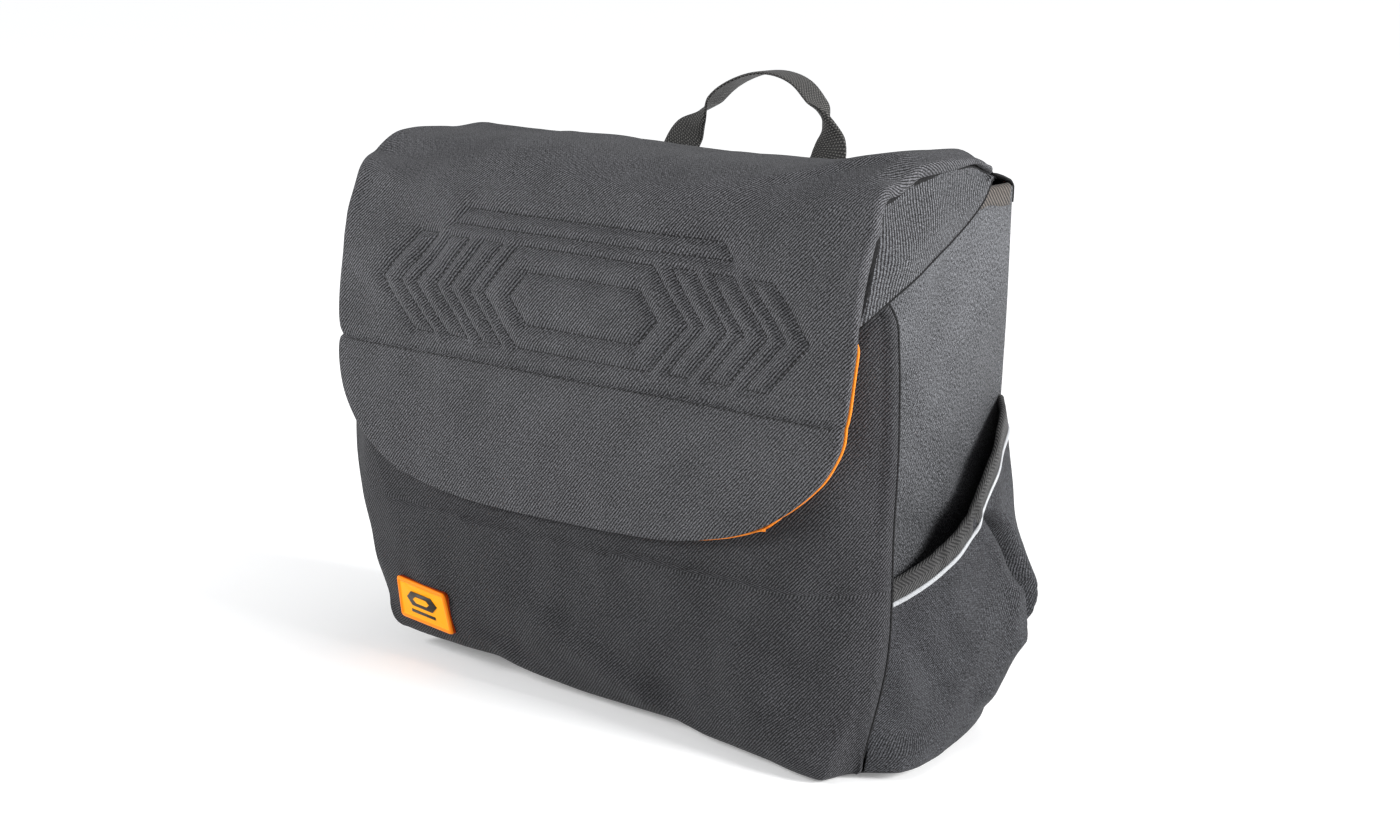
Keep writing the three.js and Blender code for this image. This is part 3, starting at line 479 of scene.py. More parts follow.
class Shader:
    """A small builder of material nodes."""

    def __init__(self, name):
        self.mat = bpy.data.materials.new(name)
        self.mat.use_nodes = True
        self.tree = self.mat.node_tree
        self.bsdf = self.tree.nodes["Principled BSDF"]

    def new(self, kind, **props):
        node = self.tree.nodes.new(kind)
        for key, value in props.items():
            setattr(node, key, value)
        return node

    def put(self, socket, value):
        if isinstance(value, bpy.types.NodeSocket):
            self.tree.links.new(value, socket)
        else:
            socket.default_value = value

    def math(self, op, *values, clamp=False):
        node = self.new("ShaderNodeMath", operation=op, use_clamp=clamp)
        for k, value in enumerate(values):
            self.put(node.inputs[k], value)
        return node.outputs[0]

    def add(self, a, b, clamp=False):
        return self.math("ADD", a, b, clamp=clamp)

    def sub(self, a, b):
        return self.math("SUBTRACT", a, b)

    def mul(self, a, b):
        return self.math("MULTIPLY", a, b)

    def power(self, a, b):
        return self.math("POWER", a, b)

    def madd(self, a, factor, plus, clamp=False):
        return self.math("MULTIPLY_ADD", a, factor, plus, clamp=clamp)

    def vary(self, value, noise, amount, clamp=False):
        """value moved up and down by a 0..1 noise."""
        return self.madd(self.sub(noise, 0.5), amount, value, clamp=clamp)

    def wave(self, x, period):
        """0..1 sine of coordinate x."""
        return self.madd(self.math("SINE", self.madd(x, 2 * math.pi / period, 0.0)), 0.5, 0.5)

    def weave(self):
        return self.new("ShaderNodeUVMap", uv_map="weave").outputs[0]

    def split(self, vector):
        node = self.new("ShaderNodeSeparateXYZ")
        self.put(node.inputs[0], vector)
        return node.outputs

    def weave_uv(self):
        vec = self.weave()
        parts = self.split(vec)
        return vec, parts[0], parts[1]

    def obj(self):
        return self.new("ShaderNodeTexCoord").outputs["Object"]

    def noise(self, vector, scale, detail=2.0, rough=0.5):
        node = self.new("ShaderNodeTexNoise")
        self.put(node.inputs["Vector"], vector)
        node.inputs["Scale"].default_value = scale
        node.inputs["Detail"].default_value = detail
        node.inputs["Roughness"].default_value = rough
        return node.outputs["Fac"]

    def voronoi(self, vector, scale, **props):
        node = self.new("ShaderNodeTexVoronoi", **props)
        self.put(node.inputs["Vector"], vector)
        node.inputs["Scale"].default_value = scale
        return node.outputs["Distance"]

    def remap(self, value, span, to):
        node = self.new("ShaderNodeMapRange")
        for k, v in enumerate((value, *span, *to)):
            self.put(node.inputs[k], v)
        return node.outputs[0]

    def mix(self, factor, a, b):
        node = self.new("ShaderNodeMix", data_type="RGBA")
        self.put(node.inputs["Factor"], factor)
        self.put(node.inputs[6], a)
        self.put(node.inputs[7], b)
        return node.outputs[2]

    def bump(self, height, strength, distance):
        node = self.new("ShaderNodeBump")
        self.put(node.inputs["Height"], height)
        node.inputs["Strength"].default_value = strength
        node.inputs["Distance"].default_value = distance
        return node.outputs[0]

    def surface(self, color, rough, normal=None, metal=0.0, sheen=0.0, spec=0.5):
        sockets = self.bsdf.inputs
        self.put(sockets["Base Color"], color)
        self.put(sockets["Roughness"], rough)
        self.put(sockets["Metallic"], metal)
        self.put(sockets["Specular IOR Level"], spec)
        self.put(sockets["Sheen Weight"], sheen)
        sockets["Sheen Roughness"].default_value = 0.45
        if normal is not None:
            self.put(sockets["Normal"], normal)
        return self.mat


def twill(name, dark, light, level, angle=48.0, sheen=0.0, bump=0.7, fleck=1.0, ribs=0.42,
          shade=None):
    """Heathered polyester twill: slanted ribs of short floats, with lighter and darker yarns.

    level is the mean paleness, ribs the contrast of the ribs, fleck that of the yarns, and
    shade an object height range in metres with the paleness it adds, a painted shade that
    makes the cloth darker towards the bottom."""
    pitch, float_length = 1.6, 1.15
    n = Shader(name)
    vec, u, v = n.weave_uv()
    a = math.radians(angle)
    across = n.madd(u, -math.sin(a), n.mul(v, math.cos(a)))
    along = n.madd(u, math.cos(a), n.mul(v, math.sin(a)))
    wobble = n.noise(vec, scale=0.09, detail=2.0)
    across = n.add(across, n.mul(n.sub(wobble, 0.5), 1.4))
    rib = n.wave(across, pitch)
    # floats: the phase steps from rib to rib
    step = n.mul(n.math("FLOOR", n.math("DIVIDE", across, pitch)), 2.1)
    floats = n.wave(n.add(along, step), float_length)
    height = n.mul(n.power(rib, 0.8), n.madd(floats, 0.3, 0.7))
    # yarns of different shade: short streaks along the ribs, and fine specks
    stretched = n.new("ShaderNodeCombineXYZ")
    n.put(stretched.inputs[0], n.mul(across, 1.15))
    n.put(stretched.inputs[1], n.mul(along, 0.6))
    streak = n.noise(stretched.outputs[0], scale=1.0, detail=2.0, rough=0.6)
    speck = n.noise(vec, scale=1.25, detail=3.0, rough=0.7)
    cloud = n.noise(vec, scale=0.03, detail=3.0, rough=0.6)
    # painted shade and highlight: darker grooves and paler rib tops, scaled by ribs
    pale = n.madd(height, ribs, level - 0.45 * ribs)
    if shade:  # painted shade: paler towards the top, darker towards the bottom, as the light falls
        pale = n.add(pale, n.remap(n.split(n.obj())[2], span=shade[0], to=shade[1]))
    pale = n.vary(pale, streak, 1.5 * fleck)
    pale = n.vary(pale, speck, 1.9 * fleck)
    pale = n.vary(pale, cloud, 0.25, clamp=True)
    normal = n.bump(n.madd(speck, 0.2, height), strength=bump, distance=0.00025)
    rough = n.madd(speck, 0.14, 0.75)
    return n.surface(n.mix(pale, dark, light), rough, normal, sheen=sheen, spec=0.3)


def plain_cloth(name, base, pitch, rough=0.8, sheen=0.1, bump=0.4, vary=0.25):
    """Plain weave: threads crossing over and under."""
    n = Shader(name)
    vec, u, v = n.weave_uv()
    height = n.math("ABSOLUTE", n.sub(n.wave(u, pitch * 2), n.wave(v, pitch * 2)))
    yarn = n.noise(vec, scale=0.9, detail=3.0, rough=0.7)
    cloud = n.noise(vec, scale=0.03, detail=2.0)
    pale = n.vary(n.madd(height, 0.4, 0.6), yarn, vary * 2)
    pale = n.add(pale, n.mul(n.sub(cloud, 0.5), 0.3), clamp=True)
    normal = n.bump(n.madd(yarn, 0.4, height), strength=bump, distance=0.00018)
    return n.surface(n.mix(pale, scaled(base, 0.45), base), rough, normal, sheen=sheen, spec=0.25)


def tape(name, dark, light, rib, half=5.0, slant=1.0):
    """Herringbone tape: ribs slanting to both sides of a middle line, half is its half width."""
    n = Shader(name)
    vec, u, v = n.weave_uv()
    fold = n.math("ABSOLUTE", n.sub(n.math("MODULO", v, 2 * half), half))
    ribs = n.wave(n.madd(fold, slant, u), rib)
    fine = n.wave(n.madd(fold, -1.4, u), 0.62)
    yarn = n.noise(vec, scale=1.7, detail=2.0, rough=0.7)
    height = n.mul(n.power(ribs, 0.8), n.madd(fine, 0.3, 0.7))
    pale = n.vary(n.power(height, 1.4), yarn, 0.7, clamp=True)
    normal = n.bump(height, strength=0.9, distance=0.0005)
    return n.surface(n.mix(pale, dark, light), 0.7, normal, sheen=0.1, spec=0.35)


def webbing(name, dark, light):
    """Heavy webbing: rows of raised floats, shifted sideways from row to row."""
    row_pitch, float_pitch = 1.5, 2.2
    n = Shader(name)
    vec, u, v = n.weave_uv()
    row = n.math("FLOOR", n.math("DIVIDE", u, row_pitch))
    across = n.wave(n.madd(row, float_pitch / 2, v), float_pitch)
    height = n.mul(n.power(across, 0.8), n.power(n.wave(u, row_pitch), 0.7))
    yarn = n.noise(vec, scale=1.4, detail=2.0, rough=0.7)
    pale = n.vary(n.mul(n.power(height, 1.4), 1.1), yarn, 0.6, clamp=True)
    normal = n.bump(height, strength=0.9, distance=0.0005)
    return n.surface(n.mix(pale, dark, light), 0.6, normal, sheen=0.08, spec=0.4)


def thread(name, base):
    n = Shader(name)
    _, u, v = n.weave_uv()
    ply = n.wave(n.madd(v, 1.3, u), 0.5)
    normal = n.bump(ply, strength=0.5, distance=0.0001)
    return n.surface(n.mix(ply, scaled(base, 0.6), base), 0.55, normal, spec=0.4)


def piping(name, dark, light):
    """Reflective tape: fine glass beads over a faint honeycomb press."""
    n = Shader(name)
    vec = n.weave()
    cell_edge = n.voronoi(vec, scale=1.1, feature="DISTANCE_TO_EDGE")
    cell = n.remap(cell_edge, span=(0.0, 0.12), to=(0.0, 1.0))
    grain = n.noise(vec, scale=5.0, detail=2.0, rough=0.8)
    color = n.mix(n.madd(grain, 0.5, n.mul(cell, 0.5)), dark, light)
    normal = n.bump(n.madd(grain, 0.5, cell), strength=0.25, distance=0.0001)
    return n.surface(color, 0.38, normal, spec=0.6)


def rubber(name, base, cloudy):
    """Soft moulded rubber: satin skin, faint mould grain, cloudy shifts between two colours."""
    n = Shader(name)
    place = n.obj()
    grain = n.noise(place, scale=2600, detail=3.0, rough=0.6)
    cloud = n.noise(place, scale=90, detail=2.0)
    color = n.mix(n.madd(cloud, 0.5, 0.1, clamp=True), base, cloudy)
    normal = n.bump(grain, strength=0.15, distance=0.00008)
    return n.surface(color, n.madd(grain, 0.12, 0.42), normal, spec=0.22)


def moulded(name, base, rough=0.48, grain_scale=1500, strength=0.22):
    """Glass-filled nylon with a fine spark-eroded texture and faint flow marks."""
    n = Shader(name)
    place = n.obj()
    pits = n.voronoi(place, scale=grain_scale, feature="SMOOTH_F1")
    grain = n.noise(place, scale=grain_scale * 1.3, detail=2.0, rough=0.6)
    flow = n.noise(place, scale=60, detail=2.0, rough=0.5)
    height = n.madd(grain, 0.6, pits)
    pale = n.madd(flow, 0.6, n.mul(grain, 0.3), clamp=True)
    normal = n.bump(height, strength=strength, distance=0.00012)
    color = n.mix(pale, base, scaled(base, 1.7))
    return n.surface(color, n.madd(flow, 0.16, rough - 0.08), normal, spec=0.45)


def anodised(name, base):
    """Drawn and anodised aluminium: fine lines along its length, which is X."""
    n = Shader(name)
    place = n.obj()
    mapping = n.new("ShaderNodeMapping")
    mapping.inputs["Scale"].default_value = (6.0, 1400.0, 1400.0)
    n.put(mapping.inputs["Vector"], place)
    lines = n.noise(mapping.outputs[0], scale=1.0, detail=3.0, rough=0.65)
    cloud = n.noise(place, scale=35, detail=2.0)
    rough = n.madd(lines, 0.2, n.madd(cloud, 0.12, 0.2))
    normal = n.bump(lines, strength=0.2, distance=0.00004)
    return n.surface(n.mix(lines, base, scaled(base, 1.5)), rough, normal, metal=0.9)


def steel(name, dark, light):
    """Zinc-plated steel: faint mottling over a fine grain."""
    n = Shader(name)
    place = n.obj()
    grain = n.noise(place, scale=900, detail=3.0, rough=0.6)
    cloud = n.noise(place, scale=120, detail=2.0)
    normal = n.bump(grain, strength=0.12, distance=0.00005)
    return n.surface(n.mix(cloud, dark, light), n.madd(grain, 0.25, 0.18), normal, metal=1.0)


def pile(name, base, scale):
    """Hook-and-loop tape: a dense field of small tufts."""
    n = Shader(name)
    vec = n.weave()
    tufts = n.voronoi(vec, scale=scale)
    grain = n.noise(vec, scale=scale * 1.5, detail=3.0, rough=0.7)
    height = n.sub(grain, tufts)
    color = n.mix(n.add(height, 0.5, clamp=True), base, scaled(base, 3))
    normal = n.bump(height, strength=0.9, distance=0.0006)
    return n.surface(color, 0.85, normal, sheen=0.2, spec=0.2)


M = {
    "body": twill("body_twill", srgb(5, 5, 7), srgb(96, 96, 100), sheen=0.02, level=0.19,
                  fleck=0.9, ribs=0.75, bump=0.9),
    "flap": twill("flap_twill", srgb(6, 6, 8), srgb(120, 120, 124), sheen=0.02, level=0.25,
                  ribs=0.78, bump=0.95),
    # the sides carry a painted shade, darker towards the bottom
    "side": twill("side_twill", srgb(14, 15, 17), srgb(122, 123, 127), angle=62.0, sheen=0.03,
                  level=0.31, ribs=0.3, fleck=1.15, shade=((0.10, 0.30), (-0.22, 0.04))),
    "pocket": twill("pocket_twill", srgb(5, 5, 7), srgb(106, 107, 112), angle=58.0, sheen=0.01,
                    level=0.17, ribs=0.5),
    "wing": twill("wing_twill", srgb(8, 8, 10), srgb(124, 125, 129), angle=64.0, sheen=0.03,
                  level=0.2, ribs=0.75),
    # painted shade: a near-black twill for cloth in shadow under the flap's edge and along the wings'
    # hems
    "gap": twill("painted_shade_twill", srgb(3, 3, 4), srgb(26, 26, 28), level=0.25),
    # painted shade: a near-black twill for the front's side seam crevices and the flap hem's shaded
    # rear corner
    "hem": twill("painted_deep_shade_twill", srgb(5, 5, 6), srgb(40, 40, 42), level=0.3),
    "back": plain_cloth("back_cloth", srgb(46, 46, 48), pitch=0.8, sheen=0.05),
    "inner": plain_cloth("inner_coating", srgb(30, 30, 32), pitch=0.5, rough=0.55),
    "orange": plain_cloth("orange_lining", (1.0, 0.27, 0.012, 1), pitch=0.45, rough=0.6,
                          sheen=0.05, bump=0.3, vary=0.12),
    "pocket_tape": tape("pocket_binding_tape", srgb(1, 1, 1), srgb(74, 73, 73), rib=2.3, half=5.5),
    "tape": tape("binding_tape", srgb(8, 7, 7), srgb(84, 80, 77), rib=1.7),
    "rim": tape("rim_tape", srgb(4, 3, 3), srgb(112, 103, 96), rib=2.9, half=50, slant=0.9),
    "piping": piping("reflective_tape", srgb(120, 122, 126), srgb(186, 188, 190)),
    "web": webbing("handle_webbing", srgb(6, 6, 6), srgb(112, 110, 107)),
    "thread": thread("black_thread", srgb(20, 20, 21)),
    "label": rubber("label_face", (1.0, 0.40, 0.0, 1), (1.0, 0.33, 0.0, 1)),
    "label_edge": rubber("label_edge", (1.0, 0.27, 0.0, 1), (1.0, 0.22, 0.0, 1)),
    "label_side": rubber("label_side", (0.62, 0.06, 0.0, 1), (0.5, 0.035, 0.0, 1)),
    "label_mark": rubber("label_mark", srgb(70, 66, 60), srgb(56, 52, 48)),
    "nylon": moulded("hook_nylon", srgb(27, 27, 29)),
    "insert": moulded("insert_nylon", srgb(92, 93, 96), rough=0.5),
    "board": moulded("board_sheet", srgb(24, 24, 26), rough=0.4, grain_scale=700, strength=0.1),
    "rail": anodised("rail_anodised", (0.045, 0.046, 0.05, 1)),
    "steel": steel("plated_steel", (0.42, 0.42, 0.43, 1), (0.62, 0.61, 0.58, 1)),
    "loop": pile("loop_pile", srgb(24, 24, 25), scale=1.1),
    "hooks": pile("hook_pile", srgb(20, 20, 21), scale=0.9),
}

# --------------------------------------------------------------- body shape
# half width of the body at heights WIDTH_Z
WIDTH_Z = [0, 6, 14, 30, 60, 100, 130, 200, 260, 335]
WIDTH_RIGHT = [186, 190.5, 191.5, 191.5, 191.5, 191.5, 192, 196, 197, 196.5]
WIDTH_LEFT = [160, 167, 172.5, 181, 193, 206.5, 210.5, 203.5, 196, 194.5]
# upright profiles of the front, (y, z): at its right corner and at its centre
CORNER = [
    (-56, 0.8), (-62, 2.4), (-63, 8), (-60, 16), (-54, 28), (-46.5, 44), (-41, 60), (-38, 80),
    (-38, 100), (-41, 150), (-45, 200), (-49, 240), (-54, 270), (-63, 300),
]
CENTRE = [
    (-50, 0.6), (-59, 1.4), (-66.5, 6), (-71.5, 15), (-74, 30), (-75, 60), (-75, 100),
    (-74.6, 125), (-75, 150), (-75.4, 200), (-75, 250), (-70, 300),
]
# the side's top edge, (y, z)
RIM = [
    (-65.6, 300), (-40, 302.5), (-14, 311.5), (2, 318), (15, 324), (27, 326.5), (43, 327.2),
    (70.6, 327.3),
]
BACK_Y = 71.0
FRONT_TOP = 300
# height of the lifted bottom edge of the front, (x), (z)
LIFT_X = [-240, -167, -140, -86, -59, -33, -8, 240]
LIFT_Z = [10, 9, 8.6, 8.8, 4.8, 2.8, 1.2, 0]
# how far the right foot swells forwards, (x), (y)
FOOT_X = [-240, 40, 58, 75, 89, 114, 139, 160, 174, 183, 190, 240]
FOOT_Y = [0, 0, 0, -4.5, -9, -12.5, -16.5, -22, -23.5, -20.5, -14, -10]


def half_w(z, side=1):
    right, left = pchip(WIDTH_Z, WIDTH_RIGHT, z), pchip(WIDTH_Z, WIDTH_LEFT, z)
    return np.where(np.asarray(side) > 0, right, left)


def near_floor(z):
    return 1 - smoothstep(0, 60, z)


def left_corner(y, z):
    """The left corner is the right one, set forwards above its foot and lifted below."""
    set_back = 8 if z < 30 else 4 if z < 50 else 0
    forward = 17 * float(np.interp(z, [0, 12, 60, 200, 280, 300], [0.1, 0.5, 1, 1, 0.3, 0]))
    return y + set_back - forward, z + 9.5 * float(near_floor(z))


CORNER_LEFT = [left_corner(y, z) for y, z in CORNER]
corner_fine, centre_fine = spline(CORNER, 400), spline(CENTRE, 400)
corner_left_fine = spline(CORNER_LEFT, 400)


def curve_y(curve, z):
    return np.interp(z, [p[1] for p in curve], [p[0] for p in curve])


def corner_y(z, side=1):
    return curve_y(CORNER if side > 0 else CORNER_LEFT, z)


def rim_z(y):
    return pchip([p[0] for p in RIM], [p[1] for p in RIM], y)


def vertical(curve, t):
    """(y, z) at t 0..1 of the arc length of an upright profile."""
    return interp_rows(t, np.linspace(0, 1, len(curve)), curve)


def finish_soft(ob, body, slot, *nodes):
    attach(ob, body)
    if nodes:
        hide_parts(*nodes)


# ------------------------------------------------------------- front panel
# folds on the front: x0, z0, x1, z1, height, width
FRONT_FOLDS = [
    (-41, 60, 84, 8, 2.6, 11), (-105, 34, -20, 6, 1.2, 11),
    (112, 70, 172, 22, 1.6, 14), (96, 130, 170, 96, 0.9, 12),
]
front_noise = Ripple(3, size=70)
front_fine = Ripple(4, size=26)


def front_base(rows, cols):
    """The front panel's outer face."""
    spread = 1.42  # radians of sine that crowd the columns towards the sides
    a = (np.sin(np.linspace(-1, 1, cols) * spread) / math.sin(spread))[None, :]
    t = np.linspace(0, 1, rows)[:, None] * np.ones_like(a)
    corner, centre = vertical(corner_fine, t), vertical(centre_fine, t)
    corner = np.where((a < 0)[..., None], vertical(corner_left_fine, t), corner)
    squareness = np.where(a < 0, 8.5, 6.0)
    swell = np.clip(1 - np.abs(a) ** squareness, 0, 1) ** 0.52
    yz = corner + (centre - corner) * (swell * np.ones_like(t))[..., None]
    y, z = yz[..., 0], yz[..., 1]
    x = a * half_w(z, np.sign(a) * np.ones_like(t))
    inside = smoothstep(1.0, 0.955, np.abs(a)) * np.ones_like(t)
    y = y + pchip(FOOT_X, FOOT_Y, x) * bell(z / 26) * inside
    y = y - 5 * bell((x - 145) / 42) * bell((z - 40) / 30) * inside
    lift = pchip(LIFT_X, LIFT_Z, x) * near_floor(np.minimum(z, centre[..., 1]))
    return np.stack([x, y, z + lift * swell], -1)


def side_room(x, z):
    """Distance from a point on the front to the side."""
    return half_w(z, np.sign(x)) - np.abs(x)


def body_folds(x, z):
    """Soft folds of the filled front: amounts to move along -Y."""
    d = 1.1 * front_noise(x, z) * smoothstep(0, 40, z) + 0.45 * front_fine(x, z * 0.7)
    d = d + soft_folds(x, z, FRONT_FOLDS, fade=(30, 25, 35), ridge_side=-1, valley=0.8)
    return d * smoothstep(0, 18, side_room(x, z)) * smoothstep(0.5, 14, z)


def front_panel():
    coarse = front_base(46, 56)
    pin = edge_pins(coarse)
    pin[:3] = 1
    moved = relax(coarse, pin, pressure=0.8, grow=0.006, cap=3.5, gravity=0.10, stiff=18)
    grid = front_base(150, 190) + resample(moved - coarse, 150, 190)
    x, y, z = grid[..., 0], grid[..., 1], grid[..., 2]  # views: changes go into the grid
    y -= body_folds(x, z)
    # the swell is held in, more firmly up where the flap hangs
    y[:] = np.maximum(y, np.where((z > 104) & (x < 180), -76.0, -90.0))
    # the panel's folded edge stands a little proud of the side
    edge = smoothstep(5, 0, side_room(x, z))
    x += np.sign(x) * 1.5 * edge
    y -= 0.9 * edge
    # the upper corners draw in
    share = np.abs(x) / half_w(z, np.sign(x))
    x -= np.sign(x) * 11 * smoothstep(262, 290, z) * smoothstep(0.8, 1.0, share)
    ob = sheet("soft_front_panel", grid, uv_of(grid), [M["body"], M["inner"]], (0, -1, 0),
               thick=2.6, rim=4, inner_mat=1)
    finish_soft(ob, "bag_body", "body_fabric", "front_panel")
    return grid


FRONT = front_panel()
front_surface = Surface(FRONT)


def front_y(x, z):
    """The front panel's outer surface at (x, z)."""
    return float(front_surface.at((x, -140, z), (0, 1, 0))[0][1])


# ----------------------------------------------------------------- gussets
# slack folds on the sides: y0, z0, y1, z1, height, width
SIDE_FOLDS = [
    (40, 312, 68, 298, 1.8, 7), (20, 296, 66, 268, 1.0, 9), (-40, 215, 30, 120, 0.8, 12),
]
side_noise = {1: Ripple(21, size=55), -1: Ripple(22, size=55)}
side_fine = {1: Ripple(23, size=20), -1: Ripple(24, size=20)}


def gusset_base(side, rows, cols):
    """Columns run from the front to the back, rows upwards."""
    b = np.linspace(0, 1, cols)[None, :] ** 1.2
    t = np.linspace(0, 1, rows)[:, None] * np.ones_like(b)
    corner = vertical(corner_fine if side > 0 else corner_left_fine, t)
    y = corner[..., 0] + 0.8 + b * (BACK_Y - 0.6 - corner[..., 0] - 0.8)
    z = corner[..., 1]
    z = z + smoothstep(200, FRONT_TOP, z) * (rim_z(y) - FRONT_TOP)
    if side < 0:
        z = z - 9.0 * near_floor(z) * smoothstep(0, 0.6, b)
    bulge = 3.2 * np.sin(np.pi * b) * np.sin(np.pi * np.clip(z / 320, 0, 1)) ** 0.8
    return np.stack([side * (half_w(z, side) + bulge), y, z], -1)


def gusset_fold(y, z, side):
    d = 0.7 * side_noise[side](y, z) + 0.3 * side_fine[side](y, z)
    d = d + soft_folds(y, z, SIDE_FOLDS, fade=(14, 12, 14))
    b = np.linspace(0, 1, y.shape[1])[None, :]
    return d * np.sin(np.pi * b) ** 0.6 * smoothstep(1, 16, z)


def gusset(side, label):
    coarse = gusset_base(side, 44, 26)
    moved = relax(coarse, edge_pins(coarse), pressure=0.9, grow=0.008, cap=2.6, gravity=0.15,
                  flip=side < 0)
    grid = gusset_base(side, 140, 72) + resample(moved - coarse, 140, 72)
    x, y, z = grid[..., 0], grid[..., 1], grid[..., 2]  # views
    x += side * gusset_fold(y, z, side)
    top = smoothstep(180, 290, z)
    low_limit, top_limit = (206.0, 199.5) if side > 0 else (214.0, 198.0)
    limit = low_limit * (1 - top) + top_limit * top
    x[:] = np.clip(x, -limit, limit)
    # the upper front corner draws in with the front panel
    x -= side * 9.5 * smoothstep(262, 290, z) * bell((y - y[:, :1]) / 11)
    ob = sheet(f"soft_gusset_{label}", grid, uv_of(grid), [M["side"], M["inner"]],
               (side, 0, 0), thick=2.4, inner_mat=1)
    finish_soft(ob, "bag_body", "body_fabric", f"side_gusset_{label}")
    return grid


GUSSET = {side: gusset(side, label) for side, label in SIDES}

# the seam between front and side: a thin cord along the tight fold, in the near-black twill as
# painted shade for the fold's crevice
for side, label in SIDES:
    column = FRONT[:, -1 if side > 0 else 0]
    rows = (column[:, 2] > 3) & (column[:, 2] < 292)
    path = spline((column[rows] + np.array([side * 0.1, 1.5, 0]))[::3], 260)
    across, up = frames_along(path, (side, 0, 0))
    cord = sweep(f"side_seam_shade_cord_{label}", path, across, up, oval(0.75, 0.6, 10), M["hem"])
    finish_soft(cord, "bag_body", "body_fabric")


# ------------------------------------------------------------ back and base
def back_grid(rows, cols):
    a = np.linspace(-1, 1, cols)[None, :]
    z = np.linspace(2.0, 325.5, rows)[:, None] * np.ones_like(a)
    width = half_w(z, np.sign(a) * np.ones_like(z))
    x = a * (width - 0.6)
    # the edges turn in a little
    room = np.minimum(np.minimum(width - np.abs(x), z - 1.5), 331 - z)
    return np.stack([x, BACK_Y - 2.2 * (1 - smoothstep(0, 5, room)), z], -1)


def back_panel():
    grid = back_grid(110, 130)
    x, z = grid[..., 0], grid[..., 2]
    noise = Ripple(31, size=60)(x, z)
    # two flat bands: a full-width one round z 291, and one round z 70 that ends at x +-105
    upper = smoothstep(0, 12, np.abs(z - 291) - 16)
    lower = smoothstep(0, 12, np.where(np.abs(x) < 105, np.abs(z - 70) - 16, 400))
    inside = smoothstep(3, 14, half_w(z) - np.abs(x))
    grid[..., 1] -= (0.5 + 0.4 * noise) * (upper * lower) * inside
    ob = sheet("soft_back_panel", grid, uv_of(grid), [M["back"], M["inner"]], (0, 1, 0),
               thick=2.6, inner_mat=1)
    finish_soft(ob, "bag_body", "back_fabric", "back_panel")


def base_grid(rows, cols):
    """Columns run from left to right, rows from the front panel's lower edge to the back."""
    low = FRONT[0]
    left, right = low[0, 0], low[-1, 0]
    b = np.linspace(0, 1, rows)[:, None]
    xs = left + (right - left) * (np.linspace(-1, 1, cols) + 1) / 2
    front = np.interp(xs, low[:, 0], low[:, 1])[None] + 0.6
    front_z = np.interp(xs, low[:, 0], low[:, 2])[None]
    y = front + b * (BACK_Y - 1.5 - front)
    x = xs[None] + 0 * b
    room = np.minimum(np.minimum(x - left, right - x), BACK_Y - y)
    z = 0.45 + (front_z - 0.6) * (1 - smoothstep(0, 0.45, b)) + 1.4 * (1 - smoothstep(0, 7, room))
    return np.stack([x, y, z], -1)


def base_panel():
    grid = base_grid(60, 120)
    # the given face is the underside, so the thickness goes upwards
    ob = sheet("soft_base_panel", grid, uv_of(grid), [M["back"], M["inner"]], (0, 0, 1),
               thick=-2.4)
    finish_soft(ob, "bag_body", "back_fabric", "bottom_panel")


def base_board():
    """The board lies on the base and follows it, a little short of its edges."""
    rows, cols = 40, 80
    base = base_grid(rows, cols)
    u, v = np.meshgrid(np.linspace(0.035, 0.965, cols), np.linspace(0.085, 0.93, rows))
    j, i = v * (rows - 1), u * (cols - 1)
    j0, i0 = np.clip(j.astype(int), 0, rows - 2), np.clip(i.astype(int), 0, cols - 2)
    fj, fi = (j - j0)[..., None], (i - i0)[..., None]
    near = base[j0, i0] * (1 - fi) + base[j0, i0 + 1] * fi
    far = base[j0 + 1, i0] * (1 - fi) + base[j0 + 1, i0 + 1] * fi
    grid = near * (1 - fj) + far * fj
    grid[..., 2] += 4.9
    ob = sheet("base_board_sheet", grid, uv_of(grid), [M["board"]], (0, 0, 1), thick=1.8)
    finish_soft(ob, "bag_body", "board", "base_board")


back_panel()
base_panel()
base_board()


# --------------------------------------------------------------- lining tub
TUB_GAP = 5.2  # between the body's outline and the lining
TUB_TOP = 296
TUB_CLOTH = 0.9


def rounded_ring(half_width, y0, y1, radius, n):
    """n points round a rounded rectangle centred on x 0."""
    x, near, far = half_width - radius, y0 + radius, y1 - radius
    points = []
    for cx, cy, start in ((x, far, 0), (-x, far, 90), (-x, near, 180), (x, near, 270)):
        for k in range(9):
            a = math.radians(start + 90 * k / 8)
            points.append((cx + radius * math.cos(a), cy + radius * math.sin(a)))
    points.append(points[0])
    points = np.array(points)
    arc = path_arc(points)
    return interp_rows(np.linspace(0, arc[-1], n, endpoint=False), arc, points)


def tub_rings(n):
    """Rings of n points from the top down, then inwards over the bottom."""
    rings = []
    ruck = Ripple(41, size=40)
    around = np.linspace(0, 1000, n, endpoint=False)
    for z in np.r_[np.linspace(TUB_TOP, 30, 60), 22, 17.5, 15.5]:
        inset = 0 if z > 30 else (30 - z) * 0.3
        right, left = (float(half_w(z, side)) - TUB_GAP - inset for side in (1, -1))
        front = float(corner_y(z)) + 5.0 + inset
        ring = rounded_ring((right + left) / 2, front, BACK_Y - 12.8 - inset, 12, n)
        ring = ring + np.array([(right - left) / 2, 0])
        # the front of the lining follows the front panel's swell
        swell = np.clip(1 - np.abs(ring[:, 0] / max(right, left)) ** 6, 0, 1)
        swell = swell * smoothstep(30, 0, ring[:, 1] - front)
        depth = float(corner_y(z)) - float(curve_y(CENTRE, z)) - 1.0
        ring[:, 1] -= swell * (depth - 24 * float(smoothstep(75, 20, z)))
        centre = ring.mean(0)
        wobble = 1 - 0.0035 * (1 + ruck(around, z)) * smoothstep(TUB_TOP, 270, z)
        ring = centre + (ring - centre) * wobble[:, None]
        rings.append(np.c_[ring, np.full(n, z)])
    last = rings[-1]
    centre = last.mean(0)
    rings += [centre + (last - centre) * share for share in (0.8, 0.5, 0.2)]
    return np.array(rings)


